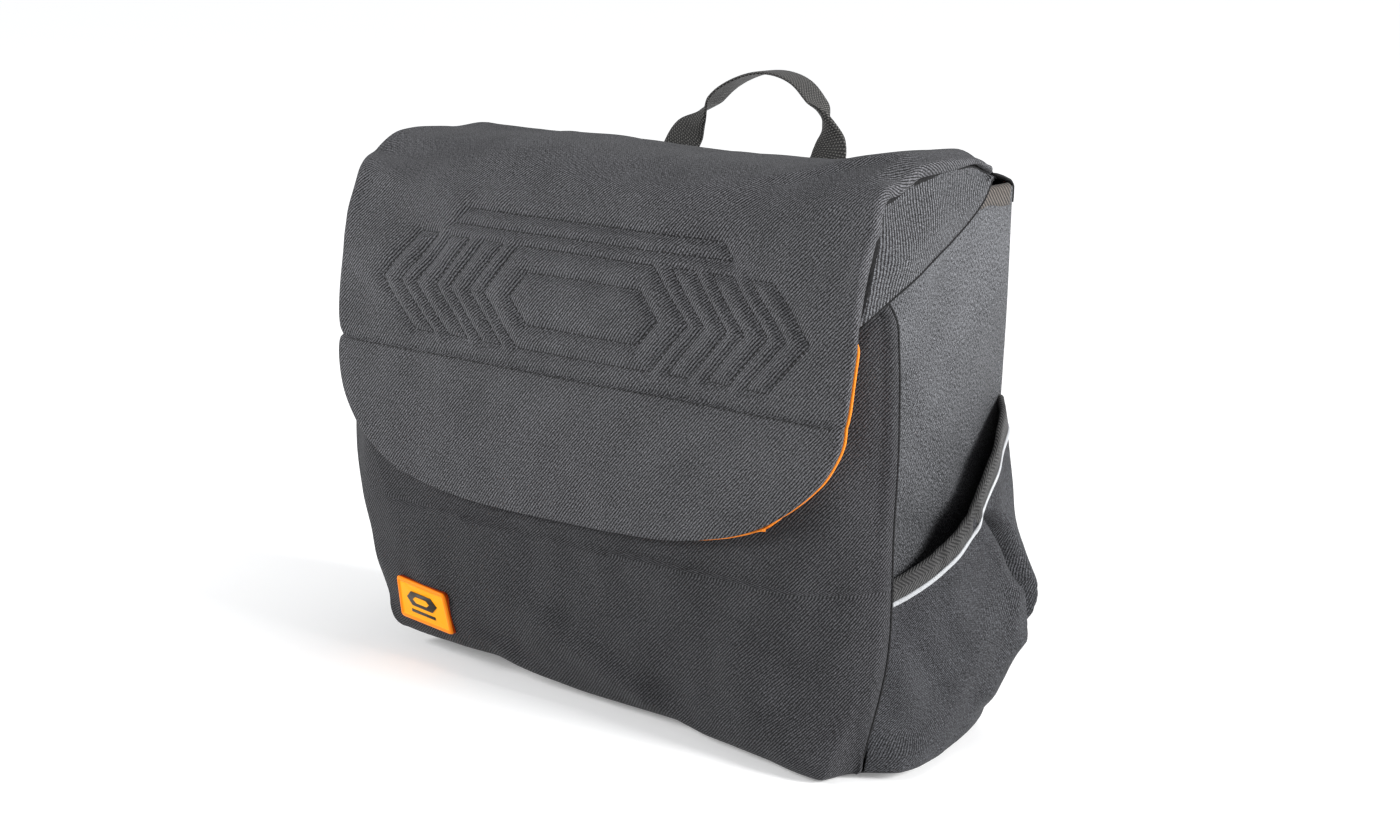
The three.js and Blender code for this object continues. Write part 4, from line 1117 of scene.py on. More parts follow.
def lining_tub():
    inner = tub_rings(168)
    rows, n = inner.shape[:2]
    away = inner - inner.mean(1, keepdims=True)
    away[..., 2] = 0
    outer = inner + unit(away) * TUB_CLOTH
    outer[-6:, :, 2] -= TUB_CLOTH
    uv = np.stack(np.broadcast_arrays(np.linspace(0, 1050, n)[None, :], -inner[:, :, 2]), -1)
    uv = uv.reshape(-1, 2)
    skin = rows * n  # first vertex of the outer skin
    faces = []
    for j in range(rows - 1):
        for i in range(n):
            k = (i + 1) % n
            quad = [j * n + i, j * n + k, (j + 1) * n + k, (j + 1) * n + i]
            faces.append(quad)
            faces.append([skin + quad[q] for q in (0, 3, 2, 1)])
    for i in range(n):
        k = (i + 1) % n
        faces.append([i, skin + i, skin + k, k])
    faces.append([(rows - 1) * n + i for i in range(n)])
    faces.append([skin + (rows - 1) * n + i for i in range(n)][::-1])
    verts = np.concatenate([inner.reshape(-1, 3), outer.reshape(-1, 3)])
    ob = make("soft_inner_lining", verts, faces, np.concatenate([uv, uv]), [M["orange"]])
    fix_normals(ob)
    finish_soft(ob, "bag_body", "orange_lining", "inner_lining")


lining_tub()


# ------------------------------------------------------------- bound edges
def sag_curve(x):
    """Shape of the dip in the back's top edge, deepest a little right of the middle."""
    return bell((x - 22) / 75)


def rim_side(side):
    top = GUSSET[side][-1]
    return np.array([
        (float(np.interp(y, top[:, 1], top[:, 0])) - side * 1.2, y, float(rim_z(y)) + 0.3)
        for y in (66.5, 55, 43, 30, 15, 0, -12, -26, -40, -54)
    ])


def rim_binding():
    """From the right side's back corner round the front to the left side's."""
    top = FRONT[-1]
    middle = np.array([
        [x, float(np.interp(x, top[:, 0], top[:, 1])) + 1.3, FRONT_TOP + 0.3]
        for x in np.r_[182, 178, np.linspace(168, -168, 15), -178, -182]
    ])
    path = spline(np.concatenate([rim_side(1), middle, rim_side(-1)[::-1]]), 300)
    up = np.broadcast_to([0, 0, 1.0], path.shape)
    across = unit(np.cross(tangents(path), up))
    ob = sweep("rim_binding_tape", path, across, up, folded_tape(10, 10, gap=3.2), M["rim"])
    finish_soft(ob, "bag_body", "binding_tape", "rim_binding")


def back_binding():
    x = np.linspace(-190, 190, 120)
    z = 324.6 - 1.2 * sag_curve(x) - 1.5 * smoothstep(165, 190, np.abs(x))
    path = np.stack([x, np.full_like(x, BACK_Y - 1.3), z], -1)
    section = folded_tape(11, 9, gap=3.0)
    ob = sweep("back_top_tape", path, (0, -1, 0), (0, 0, 1), section, M["tape"])
    finish_soft(ob, "bag_body", "binding_tape", "back_top_binding")


rim_binding()
back_binding()

# --------------------------------------------------------------------- flap
SEAM = 208.0  # height of the seam between the flap's upper and lower sections
SHELL = 5.2  # thickness of the padded shell
# the flap's middle line from the back over the top and down the front, (y, z)
TOP_PROFILE = [
    (64, 333.2), (44, 338.8), (20, 343.4), (0, 344.8), (-20, 345), (-38, 342.8), (-53, 337.4),
    (-64.5, 328.4), (-73, 316), (-78.6, 299), (-81.8, 278), (-83.6, 255), (-84.6, 230),
    (-84.8, SEAM),
]
LOW_PROFILE = [(-84.8, SEAM), (-85.2, 190), (-85.0, 170), (-84.2, 148), (-83, 128), (-82, 116)]
# the lower section's outline from the seam to the middle of the hem, (x, z)
HEM_RIGHT = [
    (184, SEAM), (182, 196), (177, 184), (171, 174), (163, 165), (152, 155), (139, 145.5),
    (124, 137.5), (100, 129.5), (71, 123.2), (36, 120.2), (0, 118.6),
]
HEM_LEFT = [
    (-201.2, SEAM), (-200.2, 190), (-195.5, 170), (-188, 156), (-177, 143), (-160, 131),
    (-134, 122.5), (-104, 118.4), (-60, 117.2), (0, 118.6),
]
# half width of the hanging part: (z), (x)
HANG_RIGHT = (
    [SEAM, 216, 238, 255, 275, 292, 304, 311, 315, 322, 334],
    [184, 185, 187.4, 189, 188.9, 189.6, 190.6, 191.4, 193.3, 193.2, 192.6],
)
HANG_LEFT = [SEAM, 230, 262, 300, 340], [200.6, 200, 197.5, 194.5, 194.5]
# half width of the top: (y), (x)
TOP_RIGHT = (
    [-66, -52, -36, -18, 0, 26, 36, 46, 55, 64],
    [192.6, 194, 196.5, 199, 199.8, 199.8, 198.5, 194, 189.5, 187.5],
)
TOP_LEFT = [-66, -40, 20, 64], [194.5, 197.5, 198.5, 198]
# creases: x0, run0, x1, run1, height, width; run is minus the distance down from the rear edge
CREASES = [
    (110, -118, 188, -92, 1.7, 6), (104, -127, 186, -103, -1.5, 6),
    (160, -196, 190, -140, 1.2, 6), (-194, -112, -140, -150, -1.3, 8),
    (-196, -215, -150, -236, -1.0, 7),
]
top_fine = spline(TOP_PROFILE, 500)
low_fine = spline(LOW_PROFILE, 200)


def quilt_lines():
    """Stitched lines on the front (x, z): two nested hexagons, chevron bands, a top strip."""
    middle, half_height, point = 251.0, 31, 27
    high, low = middle + half_height, middle - half_height
    lines = []
    for w, h, p in [(78, half_height, point), (57, 16, 14)]:
        lines.append([
            (-w, middle), (-w + p, middle + h), (w - p, middle + h), (w, middle),
            (w - p, middle - h), (-w + p, middle - h), (-w, middle),
        ])
    band, pitch = 16, 28
    for k in range(3):
        near = 63 + pitch * k
        far = near + band
        chevron = [
            (near, high), (near + point, middle), (near, low), (far, low),
            (far + point, middle), (far, high), (near, high),
        ]
        lines += [[(side * x, z) for x, z in chevron] for side in (-1, 1)]
    lines.append([(-104, 290), (104, 290), (95, 300), (-95, 300), (-104, 290)])
    return lines


QUILT = quilt_lines()


def low_y(z):
    return np.interp(z, low_fine[::-1, 1], low_fine[::-1, 0])


def flap_width(z, y, side):
    on_top = smoothstep(-70, -60, y)
    right = pchip(*HANG_RIGHT, z) * (1 - on_top) + pchip(*TOP_RIGHT, y) * on_top
    left = pchip(*HANG_LEFT, z) * (1 - on_top) + pchip(*TOP_LEFT, y) * on_top
    return np.where(side > 0, right, left)


def flap_top_base(rows, cols):
    """The upper section, rows from the rear edge over the top and down to the seam."""
    a = np.linspace(-1, 1, cols)[None, :]
    t = np.linspace(0, 1, rows)[:, None] * np.ones_like(a)
    yz = vertical(top_fine, t)
    y, z = yz[..., 0], yz[..., 1]
    side = np.sign(a) * np.ones_like(t)
    x = np.abs(a) * side * flap_width(z, y, side)
    on_top = smoothstep(-78, -52, y)
    off_rear = 1 - 0.85 * smoothstep(18, 60, y)
    # a slight sag over the opening
    z = z - 1.6 * on_top * (1 - np.abs(a) ** 2.2) * np.sin(np.pi * smoothstep(-75, 62, y))
    # a slumped left shoulder
    slump = 9.5 + 3.5 * smoothstep(-30, -55, y)
    z = z - slump * smoothstep(-80, -190, x) * on_top * off_rear
    y = y + 3.5 * smoothstep(-120, -195, x) * smoothstep(-50, -72, y) * smoothstep(285, 310, z)
    z = z - 2.0 * sag_curve(x) * on_top
    # a raised, squarer right shoulder
    z = z + 10.0 * smoothstep(105, 180, x) * smoothstep(-64, -34, y) * (
        1 - 0.85 * smoothstep(18, 60, y))
    square = bell((z - 331) / 13) * smoothstep(-38, -52, y) * smoothstep(110, 188, x)
    y, z = y - 5.0 * square, z + 5.5 * square
    # a rim that rolls down at the right
    roll = smoothstep(13, 0, flap_width(z, y, side) - x) ** 1.5
    z = z - 4.5 * roll * smoothstep(-66, -50, y) * (1 - smoothstep(30, 50, y))
    z = z - 0.3 * bell((x + 90) / 90) * on_top
    # the hanging part swells forwards
    y = y - 1.0 * (1 - np.abs(a) ** 2) * smoothstep(300, 250, z) * smoothstep(SEAM, 240, z)
    return np.stack([x, y, z], -1)


def flap_low_base(rows, cols):
    """The lower section: a Coons patch inside the rounded hem."""
    down = np.linspace(0, 1, rows)
    across = np.linspace(-1, 1, cols)
    cut = 0.40  # where a side edge turns into the bottom edge
    sides, bottoms = [], []
    for hem in (spline(HEM_LEFT, 300), spline(HEM_RIGHT, 300)):
        arc = path_arc(hem)
        share = arc / arc[-1]
        sides.append(interp_rows(down * cut, share, hem))
        bottoms.append(interp_rows(1 - np.abs(across) * (1 - cut), share, hem))
    left, right = sides
    low = np.where((across < 0)[:, None], *bottoms)
    top_x = np.where(across < 0, -across * HEM_LEFT[0][0], across * HEM_RIGHT[0][0])
    top = np.stack([top_x, np.full(cols, SEAM)], -1)
    u = (across + 1)[None, :, None] / 2
    v = down[:, None, None]
    from_sides = (1 - u) * left[:, None] + u * right[:, None]
    from_ends = (1 - v) * top[None] + v * low[None]
    corners = (
        (1 - u) * (1 - v) * top[0] + u * (1 - v) * top[-1]
        + (1 - u) * v * low[0] + u * v * low[-1]
    )
    xz = from_sides + from_ends - corners
    x, z = xz[..., 0], xz[..., 1]
    return np.stack([x, low_y(z), z], -1)


COLS, TOP_ROWS, LOW_ROWS = 250, 240, 66
COARSE_COLS, COARSE_TOP, COARSE_LOW = 56, 60, 20


def relaxed_flap():
    coarse = np.concatenate([
        flap_top_base(COARSE_TOP, COARSE_COLS), flap_low_base(COARSE_LOW, COARSE_COLS)[1:],
    ])
    pin = edge_pins(coarse)
    pin[COARSE_TOP - 1] = 0.7  # the seam
    moved = relax(coarse, pin, pressure=0.8, grow=0.004, cap=2.5, gravity=0.04, stiff=30,
                  bend=1.5, flip=True)
    move = moved - coarse
    top = flap_top_base(TOP_ROWS, COLS) + resample(move[:COARSE_TOP], TOP_ROWS, COLS)
    low = flap_low_base(LOW_ROWS, COLS) + resample(move[COARSE_TOP - 1 :], LOW_ROWS, COLS)
    return np.concatenate([top, low[1:]])


def finish_flap(ob, slot, *nodes):
    """Bakes its transform and hides the CAD parts it stands for."""
    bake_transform(ob)
    if nodes:
        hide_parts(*nodes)


FLAP_OUT = (0, -1, 0.4)
flap_base = relaxed_flap()
flap_normals, _ = grid_normals(flap_base, FLAP_OUT)
x, y, z = flap_base[..., 0], flap_base[..., 1], flap_base[..., 2]
flap_rows = len(flap_base)
upper = np.arange(flap_rows)[:, None] < TOP_ROWS
side = np.sign(x)
span = np.linspace(-1, 1, COLS)[None, :]
down = path_arc(flap_base[:, COLS // 2])[:, None] + 0 * x
run = -down
# weave coordinates: across, and down along the flap
flap_uv = np.stack([x, run], -1)
flap_uv[TOP_ROWS:, :, 1] = flap_uv[TOP_ROWS - 1, 0, 1] + (z[TOP_ROWS:] - SEAM)

# padding swells between the stitched lines
line_gap = np.where((y < -40) & upper, seg_distance(x, z, QUILT), 99)
groove = 2.5 * np.exp(-((line_gap / 2.9) ** 1.3))
puff = 1.1 * (1 - bell(line_gap / 8)) - 1.1
seam_gap = np.abs(z - SEAM)
seam_dip = np.where(upper & (y < -60), 2.5 * np.exp(-seam_gap / 6.5), 0)
seam_dip = seam_dip + np.where(~upper, 1.3 * np.exp(-seam_gap / 2.2), 0)
quilt_part = -(groove - puff) * (smoothstep(322, 304, z) * (y < -60)) - seam_dip

# soft ripples, with drag lines at the right shoulder and down the left edge
ripple = 0.8 * Ripple(51, size=90)(x, run) + 0.22 * Ripple(52, size=24)(x, run * 0.8)
for *line, height, width in CREASES:
    strength, off = beside_line(x, run, line, fade=(16, 14, 16))
    ripple = ripple + height * strength * bell(off / width)
room = np.where(upper, flap_width(z, y, side) - np.abs(x), 40)
soft_part = ripple * np.where(upper, smoothstep(0, 14, room) * smoothstep(0, 14, down), 0.5)

# the seam pinches the outline in a little
seam_pinch = np.exp(-seam_gap / 4.5) * (y < -60) * smoothstep(0.90, 1.0, np.abs(span))
seam_pinch = side * 1.8 * seam_pinch
# a fuller bead along the upper side edges
bead = smoothstep(0.962, 0.982, np.abs(span)) * upper * smoothstep(262, 275, z)
bead = bead * (1 - smoothstep(-25, 25, y))
rear_thin = 2.2 * smoothstep(-10, 35, y) * upper


def off_flap(distance):
    """The flap's base moved out along its normals, pinched in at the seam."""
    grid = flap_base + flap_normals * distance[..., None]
    grid[..., 0] -= seam_pinch
    return grid


FLAP = off_flap(soft_part + quilt_part) + flap_normals * (0.7 * bead)[..., None]
inner_face = off_flap(soft_part - SHELL - 0.1 + 0.25 * quilt_part)
inner_face = inner_face + flap_normals * (rear_thin - 2.6 * bead)[..., None]
flap = sheet("soft_flap_shell", FLAP, flap_uv, [M["flap"]], FLAP_OUT, inner=inner_face, rim=5,
             round_by=2.6)
finish_flap(flap, "body_fabric", "flap_upper_panel", "flap_lower_panel", "flap_upper_padding",
            "flap_lower_padding")


def flap_lining():
    """The same sheet inside the shell, a touch wider where its edge shows."""
    depth = soft_part - SHELL - 0.4 + 0.25 * quilt_part + rear_thin
    grid = flap_base + flap_normals * depth[..., None]
    wide = smoothstep(266, 250, grid[..., 2]) * (grid[..., 1] < -60)
    tuck = 3.4 + 14 * smoothstep(-50, -10, grid[..., 1])
    shift = (2.6 + 0.8 * (span > 0)) * wide - tuck * (1 - wide)
    grid[..., 0] += np.sign(span) * smoothstep(0.85, 1.0, np.abs(span)) * shift
    grid[..., 0] -= seam_pinch
    hem = np.clip((np.arange(flap_rows) - TOP_ROWS) / (LOW_ROWS - 1), 0, 1)[:, None]
    hem = smoothstep(0.84, 1.0, hem)
    grid[..., 2] -= (0.6 + 2.9 * smoothstep(0.0, 0.8, span)) * hem
    grid[..., 1] -= 0.5 * hem
    ob = sheet("soft_flap_lining", grid[:, ::2], flap_uv[:, ::2], [M["orange"]], FLAP_OUT,
               thick=1.5, rim=4, round_by=1.1)
    finish_flap(ob, "orange_lining", "flap_upper_lining", "flap_lower_lining")


flap_lining()

# ------------------------------------------------------------------ stitches
THREAD_R = 0.42
# rings of one stitch: share of its length, share of the thread's radius
STITCH_RINGS = [(-0.36, 0.8), (0.0, 1.0), (0.36, 0.8)]
STITCH_SIDES = 6


def stitches(points, normals, length=2.5, gap=1.0, lift=0.1):
    """Short thread stitches along a line on a surface."""
    arc = path_arc(points)
    count = int(arc[-1] / (length + gap))
    sink = lift - THREAD_R * 0.9  # the ends dip into the cloth
    verts, faces, uvs = [], [], []
    for k in range(count):
        at = (k + 0.5) * arc[-1] / count
        middle, start, end = (
            interp_rows(at + shift, arc, points) for shift in (0, -length / 2, length / 2)
        )
        normal = unit(interp_rows(at, arc, normals))
        along = unit(end - start)
        across = np.cross(normal, along)
        first = len(verts)
        verts.append(middle + along * (-0.5 * length) + normal * sink)
        uvs.append((at - length / 2, 0))
        for share, swell in STITCH_RINGS:
            r = THREAD_R * swell
            for q in range(STITCH_SIDES):
                a = 2 * math.pi * q / STITCH_SIDES
                rise = normal * (lift + r * math.sin(a)) + across * (r * math.cos(a))
                verts.append(middle + along * share * length + rise)
                uvs.append((at + share * length, q * 0.4))
        verts.append(middle + along * (0.5 * length) + normal * sink)
        uvs.append((at + length / 2, 0))
        last = len(verts) - 1
        for q in range(STITCH_SIDES):
            q2 = (q + 1) % STITCH_SIDES
            faces.append([first, first + 1 + q2, first + 1 + q])
            for ring in range(2):
                b = first + 1 + STITCH_SIDES * ring
                faces.append([b + q, b + q2, b + STITCH_SIDES + q2, b + STITCH_SIDES + q])
            b = first + 1 + 2 * STITCH_SIDES
            faces.append([last, b + q, b + q2])
    return make("stitch_run", np.array(verts), faces, np.array(uvs), [M["thread"]])


def on_flap(line, step=1.5):
    """A polyline in (x, z) laid on the flap's front: points and normals."""
    line = np.asarray(line, float)
    arc = path_arc(line)
    spots = interp_rows(np.arange(0, arc[-1] + 1e-6, step), arc, line)
    hits = [flap_surface.at((x, -160, z), (0, 1, 0)) for x, z in spots]
    return np.array([h[0] for h in hits]), np.array([h[1] for h in hits])


flap_surface = Surface(FLAP)
runs = [stitches(*on_flap(pair)) for line in QUILT for pair in zip(line[:-1], line[1:])]
seam_line = on_flap([(-194, SEAM - 1.5), (180, SEAM - 1.5)])
runs.append(stitches(*seam_line, length=2.7, gap=1.1, lift=0.25))
finish_flap(joined("flap_stitching", runs), "body_fabric")

# --------------------------------------------------------------- flap wings
# the wings' slanted hem, (y, z)
WING_HEM = [
    (-82, 252), (-77, 257.5), (-69, 267.5), (-44, 285.5), (-19, 298.5), (1, 307), (12, 312),
    (27, 323.5), (34, 331), (39, 338.5),
]
# half width at the hem: (y), (x)
WING_LOW = (
    [-78, -70, -62, -54, -45, -30, -10, 44],
    [185, 189.5, 193.5, 197.5, 200, 201.2, 201.4, 201.0],
)
WING_TUCK = [-78, -40, 0, 44], [5.0, 5.0, 3.0, 1.5]  # inset of the top from the flap's edge
# front limit of the lit cloth: (z), (y)
WING_SHADE = [258, 264, 282, 300, 320, 335], [-77, -73.2, -69.8, -65.8, -61.2, -57]


def wing_grid(side, rows, cols):
    """Columns run from the front fold back to the rear corner, rows from the slanted hem up to
    the flap's underside."""
    back = np.linspace(0, 1, cols)
    ys = -77.5 + 116.5 * (0.55 * back + 0.45 * back**1.7)
    column = 0 if side < 0 else -1
    edge = flap_base[:TOP_ROWS, column]
    depth = SHELL + 0.8 - rear_thin[:TOP_ROWS, column, None]
    inside = edge - flap_normals[:TOP_ROWS, column] * depth
    top_z = np.interp(-ys, -inside[:, 1], inside[:, 2])
    top_z = np.where(ys < inside[:, 1].min() + 0.5, 266, top_z) - 0.6
    hem = pchip([p[0] for p in WING_HEM], [p[1] for p in WING_HEM], ys)
    hem = np.minimum(hem, top_z - 3)
    t = np.linspace(0, 1, rows)[:, None]
    z = hem[None] + t * (top_z - hem)[None]
    y = np.repeat(ys[None], rows, 0)
    edge_x = np.abs(np.interp(-ys, -inside[:, 1], np.abs(edge[:, 0])))
    low_x = pchip(*WING_LOW, ys)
    if side < 0:
        low_x = np.maximum(low_x - 1.0, 197.0) + 0.8
        edge_x = np.maximum(edge_x, 196.5)
    top_x = np.minimum(low_x, edge_x - pchip(*WING_TUCK, ys))
    belly = 2.2 * np.sin(np.pi * np.clip(back * 1.05, 0, 1)) ** 0.8
    x = low_x[None] + (top_x - low_x)[None] * smoothstep(0.25, 1.0, t)
    x = x + belly[None] * np.sin(np.pi * np.clip(0.2 + 0.78 * (1 - t), 0, 1))
    # the front edge turns in behind the flap's edge
    x = x - 6.0 * bell(back / 0.05)[None]
    x = x + 0.45 * Ripple(61 if side > 0 else 62, size=34)(y, z)
    return np.stack([side * x, y, z], -1)


def shade_wing(wing, grid):
    """The strip tucked under the flap's edge lies in its shade, which is painted: those faces, and
    those in front of the lit cloth's limit, take the near-black shade twill.
    """
    ys = grid[0, :, 1]
    tops = np.interp(ys, grid[-1, :, 1], grid[-1, :, 2])
    for poly in wing.data.polygons:
        if poly.material_index:
            continue
        _, y, z = poly.center / MM
        below_top = float(np.interp(y, ys, tops)) - z
        strip = 4.0 * float(1 - smoothstep(-32, -4, y)) + 0.9
        if y < float(np.interp(z, *WING_SHADE)) or below_top < strip:
            poly.material_index = 2


for side, label in SIDES:
    grid = wing_grid(side, 100, 150)
    uv = np.stack([grid[..., 1] + 0.35 * grid[..., 2], grid[..., 2]], -1)
    wing = sheet(f"soft_flap_wing_{label}", grid, uv, [M["wing"], M["inner"], M["gap"]],
                 (side, 0, 0), thick=1.8, inner_mat=1)
    shade_wing(wing, grid)
    finish_soft(wing, "flap_upper", "body_fabric", f"flap_wing_{label}")
    # the hem's turned edge: a cord in the near-black twill, painted shade for the shadow line under
    # the hem
    path = spline(grid[0] + np.array([side * -0.9, 0.3, -1.0]), 200)
    across, up = frames_along(path, (side, 0, 0))
    fold = sweep(f"wing_hem_shade_cord_{label}", path, across, up, oval(0.9, 1.25, 10), M["gap"])
    finish_soft(fold, "flap_upper", "body_fabric")

# ------------------------------------------------------------ flap rear hem
HANDLE_X = 57  # half the distance between the handle's sewn ends
# the hem's profile from the back up on to the flap, (y, z)
REAR_HEM = [
    (BACK_Y + 1.9, 318.5), (BACK_Y + 1.9, 324), (BACK_Y + 1.5, 329.0), (BACK_Y - 1.2, 332.3),
    (BACK_Y - 7, 334.4), (BACK_Y - 13, 336.2), (BACK_Y - 19, 337.6),
]


def rear_hem():
    """The flap's rear hem, sewn over the back's top edge."""
    x = np.linspace(-196, 196, 140)[None]
    profile = spline(REAR_HEM, 26)
    y, z = profile[:, :1], profile[:, 1:]
    dip = 2.6 * smoothstep(175, 140, np.abs(x)) + 0.6 + 2.4 * sag_curve(x)
    dip = dip + 7.5 * smoothstep(-120, -190, x)
    # it is pressed in where the handle's ends lie over it
    clear = smoothstep(13, 16, np.abs(np.abs(x) - HANDLE_X))
    grid = np.stack([
        x + 0 * y,
        y + 0.25 * Ripple(71, size=30)(x, y * 3) - (1 - clear) * 1.1 * (z < 334),
        z + 0.3 * Ripple(72, size=30)(x, z * 3) - dip * smoothstep(322, 332, z),
    ], -1)
    ob = sheet("soft_flap_rear_hem", grid, uv_of(grid), [M["hem"], M["flap"]], (0, 1, 1),
               thick=1.2)
    # the right end, at the flap's shaded rear corner, keeps the near-black twill as painted shade
    for poly in ob.data.polygons:
        if poly.center[0] < 0.172:  # all but the right end
            poly.material_index = 1
    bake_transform(ob)


rear_hem()

# ------------------------------------------------------------------ pockets
# the pocket's upper edge, (y, z)
MOUTH = [
    (-40, 108), (-28.7, 115), (-15.4, 124), (-8.5, 130), (-1.2, 137), (8.4, 148.5),
    (21.4, 166), (40.5, 185.5), (56, 196), (69, 201),
]
POCKET_FRONT, POCKET_REAR = -38.0, 69.0
# how far the pocket stands off the side: shares of its depth front to back, then rows of
# height share and distances
PROUD_AT = [0, 0.1, 0.22, 0.35, 0.5, 0.65, 0.8, 0.9, 0.96, 1.0]
PROUD = [
    (0.00, [0.8] * 10),
    (0.02, [5, 21, 24, 23.5, 20.5, 17, 13, 10, 6, 1.5]),
    (0.09, [4, 20, 25.5, 26, 23.5, 20.5, 17, 13, 8, 2]),
    (0.22, [1.5, 10, 17, 23, 27, 29, 28.5, 25, 15, 2.5]),
    (0.42, [1.5, 9, 17, 24, 31, 36, 41, 43, 40, 5]),
    (0.58, [1.5, 8, 15, 22, 28, 32, 33, 30, 22, 4]),
    (0.76, [1.5, 8.5, 16, 23, 27.5, 28.5, 26, 21, 13, 2.5]),
    (0.89, [1.5, 8.5, 15.5, 22, 25, 24.5, 20.5, 15, 8.5, 2]),
    (1.00, [1.5, 7.5, 13.5, 18.5, 20.5, 19, 14.5, 9.5, 5, 1.5]),
]
# the valley of the deep pleat: (z), (y)
PLEAT = [50, 57, 93, 108, 128, 149, 160], [65, 63, 56, 46.5, 33, 18, 11]
# softer folds: y0, z0, y1, z1, height, width
POCKET_FOLDS = [
    (-34, 92, 6, 34, 1.6, 9), (-10, 96, 24, 30, 1.3, 10), (20, 30, 58, 14, 1.8, 8),
    (-30, 22, 20, 12, 1.4, 8),
]
TAPE_POINTS = 150


def mouth_z(y):
    return pchip([p[0] for p in MOUTH], [p[1] for p in MOUTH], y)


def pocket_grid(side, rows, cols):
    """Columns run from the front seam to the back seam, rows from the base up to the mouth.
    Also returns the shares of depth and height."""
    floor_z = 2.2
    u = np.linspace(0, 1, cols)[None, :]
    t = np.linspace(0, 1, rows)[:, None] * np.ones_like(u)
    z = floor_z + t * (mouth_z(POCKET_FRONT + u * (POCKET_REAR - POCKET_FRONT)) - floor_z)
    front = corner_y(z, side) + 1.2
    y = front + u * (POCKET_REAR - front)
    z = floor_z + t * (mouth_z(y) - floor_z)
    waist = 12.5 * smoothstep(60, 110, z) * (1 - smoothstep(160, 240, z)) if side < 0 else 0
    bulge = 3.0 * np.sin(np.pi * u) * np.sin(np.pi * np.clip(z / 320, 0, 1))
    columns = np.array([pchip(PROUD_AT, row, u[0]) for _, row in PROUD])
    x = half_w(z, side) - waist + bulge + pchip([share for share, _ in PROUD], columns, t[:, 0])
    rear = smoothstep(0.72, 0.95, u) * (1 - smoothstep(0.97, 1.0, u))
    y = y + 5.0 * rear * np.sin(np.pi * np.clip(t, 0, 1)) ** 0.7
    if side < 0:
        z = z + 9.0 * near_floor(z) * (1 - smoothstep(0.0, 0.6, u))
    return np.stack([side * x, y, z], -1), u, t


def pocket_pleat(y, z, u, t, side):
    """A deep slanting pleat from the mouth towards the back, and softer folds below."""
    off = (y - np.interp(z, *PLEAT)) * 0.8  # positive towards the back
    valley = -15.0 * np.where(off < 0, bell(off / 2.4), bell(off / 7.5))
    ridges = 3.4 * bell((off + 8) / 5.5) + 4.0 * bell((off - 15) / 6)
    d = smoothstep(50, 68, z) * (1 - smoothstep(132, 149, z)) * (valley + ridges)
    d = d + soft_folds(y, z, POCKET_FOLDS, fade=(12, 14, 16))
    d = d + 0.8 * Ripple(81 if side > 0 else 83, size=40)(y, z)
    return d * np.sin(np.pi * np.clip(u, 0, 1)) ** 0.5 * smoothstep(0, 0.12, t)


def finish_pocket(ob, label, piece):
    """Bakes its transform and hides the pocket part it stands for."""
    body = f"pocket_{label}"
    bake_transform(ob)
    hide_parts(f"{body}_{piece}")


def pocket_panel(side, label):
    coarse = pocket_grid(side, 34, 30)[0]
    pin = edge_pins(coarse)
    pin[-1] = 0.85
    moved = relax(coarse, pin, pressure=1.2, grow=0.012, cap=3.5, gravity=0.3, stiff=14,
                  bend=0.3, flip=side < 0)
    grid, u, t = pocket_grid(side, 130, 120)
    grid = grid + resample(moved - coarse, 130, 120)
    x, y, z = grid[..., 0], grid[..., 1], grid[..., 2]  # views
    x[:] = np.clip(x, -229.5, 229.5)
    x += side * pocket_pleat(y, z, u, t, side)
    x[:] = np.clip(x, -231.0, 231.0)
    # the rear seam allowance turns in behind the gusset's edge
    x[:, -1] = x[:, -2] - side * 8.0
    y[:, -1] = y[:, -2] + 0.6
    ob = sheet(f"soft_pocket_{label}", grid, uv_of(grid), [M["pocket"], M["inner"]],
               (side, 0, 0), thick=1.5, inner_mat=1)
    finish_pocket(ob, label, "panel")
    return grid


def pocket_binding(grid, normals, up, label):
    """Binding folded over the mouth."""
    normal = normals[-3]
    path = spline(grid[-1] - normal * 0.75 + up * 1.2, TAPE_POINTS)
    ob = sweep(f"pocket_{label}_binding_tape", path, -even_rows(normal, TAPE_POINTS),
               even_rows(up, TAPE_POINTS), folded_tape(11.0, 9.0, gap=1.9, tape=0.8),
               M["pocket_tape"])
    finish_pocket(ob, label, "binding")


def pocket_piping(grid, normals, up, label):
    """The reflective strip, set below the mouth on the outer face."""
    below_mouth = 11.6
    depth = np.linalg.norm(np.diff(grid[::-1], axis=0), axis=-1).cumsum(0)
    points, facing = [], []
    for i in range(grid.shape[1]):
        from_top = float(np.interp(below_mouth, depth[:, i], np.arange(1, len(grid))))
        row = len(grid) - 1 - from_top
        j = int(row)
        f = row - j
        points.append(grid[j, i] * (1 - f) + grid[j + 1, i] * f)
        facing.append(normals[j, i])
    facing = even_rows(np.array(facing), TAPE_POINTS)
    path = even_rows(np.array(points), TAPE_POINTS) + facing * 0.75
    ob = sweep(f"pocket_{label}_reflective_strip", path, facing, even_rows(up, TAPE_POINTS),
               oval(0.75, 1.55, 14, flat=2.6), M["piping"])
    finish_pocket(ob, label, "reflective_piping")


for side, label in SIDES:
    grid = pocket_panel(side, label)
    normals, _ = grid_normals(grid, (side, 0, 0))
    up = unit(grid[-1] - grid[-8])
    pocket_binding(grid, normals, up, label)
    pocket_piping(grid, normals, up, label)

# ------------------------------------------------------------------- handle
STRAP_Y = BACK_Y + 1.75
